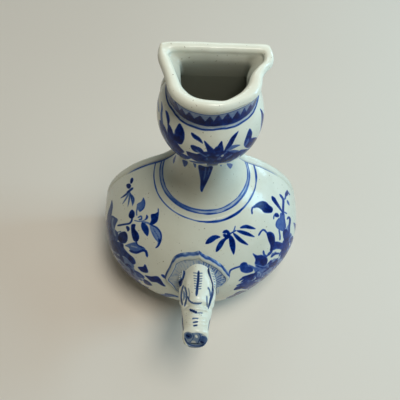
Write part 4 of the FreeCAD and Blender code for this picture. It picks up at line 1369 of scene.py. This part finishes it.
class Nodes:
    """Short names for building a node tree."""

    def __init__(self, name):
        self.material = bpy.data.materials.new(name)
        self.material.use_nodes = True
        self.tree = self.material.node_tree
        self.shader = self.tree.nodes["Principled BSDF"]

    def add(self, kind, **inputs):
        node = self.tree.nodes.new(kind)
        for key, value in inputs.items():
            node.inputs[key.replace("_", " ")].default_value = value
        return node

    def link(self, a, b):
        self.tree.links.new(a, b)

    def noise(self, scale, detail=3.0, roughness=0.55):
        node = self.add("ShaderNodeTexNoise", Scale=scale, Detail=detail, Roughness=roughness)
        self.link(self.coordinates(), node.inputs["Vector"])
        return node.outputs["Fac"]

    def coordinates(self):
        if not hasattr(self, "place"):
            self.place = self.tree.nodes.new("ShaderNodeTexCoord").outputs["Object"]
        return self.place

    def ramp(self, value, stops):
        node = self.tree.nodes.new("ShaderNodeValToRGB")
        ramp = node.color_ramp
        while len(ramp.elements) < len(stops):
            ramp.elements.new(0.5)
        for element, (place, colour) in zip(ramp.elements, stops):
            element.position = place
            element.color = colour
        self.link(value, node.inputs["Fac"])
        return node.outputs["Color"]

    def feed(self, value, socket):
        if isinstance(value, (float, tuple)):
            socket.default_value = value
        else:
            self.link(value, socket)

    def mix(self, amount, a, b):
        node = self.tree.nodes.new("ShaderNodeMix")
        node.data_type = "RGBA"
        for key, value in (("Factor", amount), ("A", a), ("B", b)):
            self.feed(value, node.inputs[key])
        return node.outputs["Result"]

    def math(self, operation, a, b):
        node = self.tree.nodes.new("ShaderNodeMath")
        node.operation = operation
        self.feed(a, node.inputs[0])
        self.feed(b, node.inputs[1])
        return node.outputs["Value"]

    def between(self, value, low, high, to_low, to_high):
        node = self.add("ShaderNodeMapRange")
        for key, number in (("From Min", low), ("From Max", high), ("To Min", to_low), ("To Max", to_high)):
            node.inputs[key].default_value = number
        self.link(value, node.inputs["Value"])
        return node.outputs["Result"]


def glaze():
    """Pale greenish glaze over cobalt painting, which pools; whiter where it stands partly for painted
    light, grey where it is painted shade inside the pot, with smoky ink and bare burnt edges.
    """
    n = Nodes("glaze_over_cobalt")
    paint = n.add("ShaderNodeAttribute")
    paint.attribute_name = "paint"
    split = n.add("ShaderNodeSeparateColor")
    n.link(paint.outputs["Color"], split.inputs["Color"])
    ink, bare, grey_and_shade = split.outputs["Red"], split.outputs["Green"], split.outputs["Blue"]
    body = n.ramp(n.noise(16.0, 3.0), (
        (0.30, linear(204, 207, 190)), (0.52, linear(216, 220, 204)), (0.74, linear(221, 227, 217)),
    ))
    # Whiter glaze from the alpha channel: partly thicker glaze, partly painted light on the bulb, rim and
    # head.
    body = n.mix(paint.outputs["Alpha"], body, linear(234, 237, 220))
    body = n.mix(n.between(n.noise(70.0, 4.0, 0.6), 0.45, 0.8, 0.0, 0.35), body, linear(190, 193, 172))
    specks = n.between(n.noise(900.0, 1.0, 0.4), 0.735, 0.76, 0.0, 0.6)
    body = n.mix(specks, body, linear(120, 110, 84))
    heaped = n.between(n.noise(420.0, 5.0, 0.65), 0.3, 0.72, 0.80, 1.12)
    flow = n.between(n.noise(120.0, 3.0, 0.5), 0.3, 0.7, 0.92, 1.08)
    laid = n.math("MULTIPLY", n.math("MULTIPLY", ink, heaped), flow)
    cobalt = n.ramp(laid, (
        (0.0, linear(176, 188, 196)), (0.25, linear(122, 146, 182)), (0.5, linear(64, 98, 160)),
        (0.75, linear(20, 60, 136)), (0.9, linear(2, 36, 110)), (1.0, linear(0, 22, 82)),
    ))
    smoky = n.ramp(laid, (
        (0.0, linear(158, 168, 166)), (0.35, linear(104, 124, 140)), (0.7, linear(52, 72, 100)),
        (1.0, linear(16, 26, 44)),
    ))
    cover = n.between(laid, 0.02, 0.3, 0.0, 1.0)
    # Painted shade: the grey channel darkens the glaze to grey inside the pot; under ink it makes the ink
    # smoky, which on the left flank is painted shade too.
    body = n.mix(grey_and_shade, body, linear(142, 144, 130))
    colour = n.mix(cover, body, n.mix(grey_and_shade, cobalt, smoky))
    burnt = n.ramp(n.noise(260.0, 5.0, 0.7), ((0.35, linear(128, 98, 62)), (0.7, linear(186, 168, 130))))
    edge = n.between(n.math("MULTIPLY", bare, n.noise(330.0, 4.0, 0.7)), 0.22, 0.36, 0.0, 1.0)
    colour = n.mix(edge, colour, burnt)
    n.link(colour, n.shader.inputs["Base Color"])
    smooth = n.between(n.noise(55.0, 4.0, 0.6), 0.3, 0.75, 0.14, 0.26)
    rough = n.math("ADD", smooth, n.math("MULTIPLY", edge, 0.4))
    n.link(rough, n.shader.inputs["Roughness"])
    n.shader.inputs["IOR"].default_value = 1.45
    n.link(n.between(laid, 0.1, 0.8, 0.42, 0.14), n.shader.inputs["Specular IOR Level"])
    bump = n.add("ShaderNodeBump", Strength=0.35, Distance=0.00022)
    fine = n.math("MULTIPLY", n.noise(620.0, 2.0, 0.5), 0.22)
    orange_peel = n.math("ADD", n.noise(150.0, 3.0, 0.5), fine)
    relief = n.math("ADD", orange_peel, n.math("MULTIPLY", laid, 0.22))
    n.link(relief, bump.inputs["Height"])
    n.link(bump.outputs["Normal"], n.shader.inputs["Normal"])
    return n.material


def bare_clay():
    """Unglazed foot: buff clay with darker grit and a fine rough bump."""
    n = Nodes("bare_foot_clay")
    base = n.ramp(n.noise(240.0, 5.0, 0.65), (
        (0.3, linear(170, 146, 112)), (0.55, linear(196, 176, 144)), (0.8, linear(214, 198, 168)),
    ))
    grit = n.between(n.noise(1500.0, 2.0, 0.5), 0.62, 0.7, 0.0, 0.7)
    n.link(n.mix(grit, base, linear(110, 84, 58)), n.shader.inputs["Base Color"])
    n.link(n.between(n.noise(300.0, 3.0), 0.3, 0.7, 0.72, 0.92), n.shader.inputs["Roughness"])
    bump = n.add("ShaderNodeBump", Strength=0.5, Distance=0.0003)
    n.link(n.noise(700.0, 5.0, 0.7), bump.inputs["Height"])
    n.link(bump.outputs["Normal"], n.shader.inputs["Normal"])
    return n.material


def floor_material():
    n = Nodes("pale_floor")
    n.link(n.ramp(n.noise(2.2, 2.0), ((0.3, linear(219, 211, 197)), (0.7, linear(226, 219, 206)))),
           n.shader.inputs["Base Color"])
    n.shader.inputs["Roughness"].default_value = 0.9
    n.shader.inputs["Specular IOR Level"].default_value = 0.1
    return n.material


# ---- stage ----

FLOOR_HALF = 3.0
LAMPS_AIM = (0.0, -0.02, 0.08)
# name, place, size, watts, colour
LAMPS = (
    ("window", (0.56, 0.02, 0.36), (0.20, 0.26), 1.7, (0.38, 0.74, 1.0)),
    ("low_window", (0.60, 0.56, 0.17), (0.30, 0.10), 1.0, (0.55, 0.84, 1.0)),
    ("far_window", (0.05, 0.84, 0.84), (0.60, 0.10), 1.5, (0.70, 0.90, 1.0)),
    ("room", (0.18, -0.10, 1.06), (0.40, 0.40), 6.7, (1.0, 0.95, 0.88)),
)


def lamp(name, place, size, energy, colour):
    light = bpy.data.lights.new(name, "AREA")
    light.shape = "RECTANGLE"
    light.size, light.size_y = size
    light.energy = energy
    light.color = colour
    obj = bpy.data.objects.new(name, light)
    bpy.context.scene.collection.objects.link(obj)
    obj.location = place
    obj.rotation_euler = (Vector(LAMPS_AIM) - Vector(place)).to_track_quat("-Z", "Y").to_euler()


def make_stage():
    mesh = bpy.data.meshes.new("floor")
    corners = [(x * FLOOR_HALF, y * FLOOR_HALF, 0) for x, y in ((-1, -1), (1, -1), (1, 1), (-1, 1))]
    mesh.from_pydata(corners, [], [(0, 1, 2, 3)])
    mesh.materials.append(floor_material())
    floor = bpy.data.objects.new("floor", mesh)
    bpy.context.scene.collection.objects.link(floor)
    world = bpy.data.worlds.new("studio")
    bpy.context.scene.world = world
    world.use_nodes = True
    background = world.node_tree.nodes["Background"]
    background.inputs["Color"].default_value = (1.0, 0.95, 0.88, 1.0)
    background.inputs["Strength"].default_value = 0.09
    for row in LAMPS:
        lamp(*row)
    bpy.context.scene.view_settings.view_transform = "Standard"


# ---- put together ----

make_camera()
make_stage()
glazed = glaze()

lower, upper, neck, bulb = (thrown(name, glazed) for name in THROWN)
slab, rim, spout = back_slab(glazed), mouth_rim(glazed), head(glazed)
paint_collar(*spout_collar(glazed))
for place in EARS:
    ear(*place, glazed)

around = (rings_on_neck, seam_line)
paint(*lower, FLOWERS_PX, (round_the_sides, *around))
paint(*upper, FLOWERS_PX, around)
paint(*neck, NECK_PX, around)
paint(*bulb, BULB_PX, (band_under_lip,))
paint(*rim, (), (band_under_lip,))
paint(*slab, (), (seam_line,))
paint(*spout, HEAD_PX, ())

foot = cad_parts["foot_ring"]
foot.data.materials.clear()
foot.data.materials.append(bare_clay())
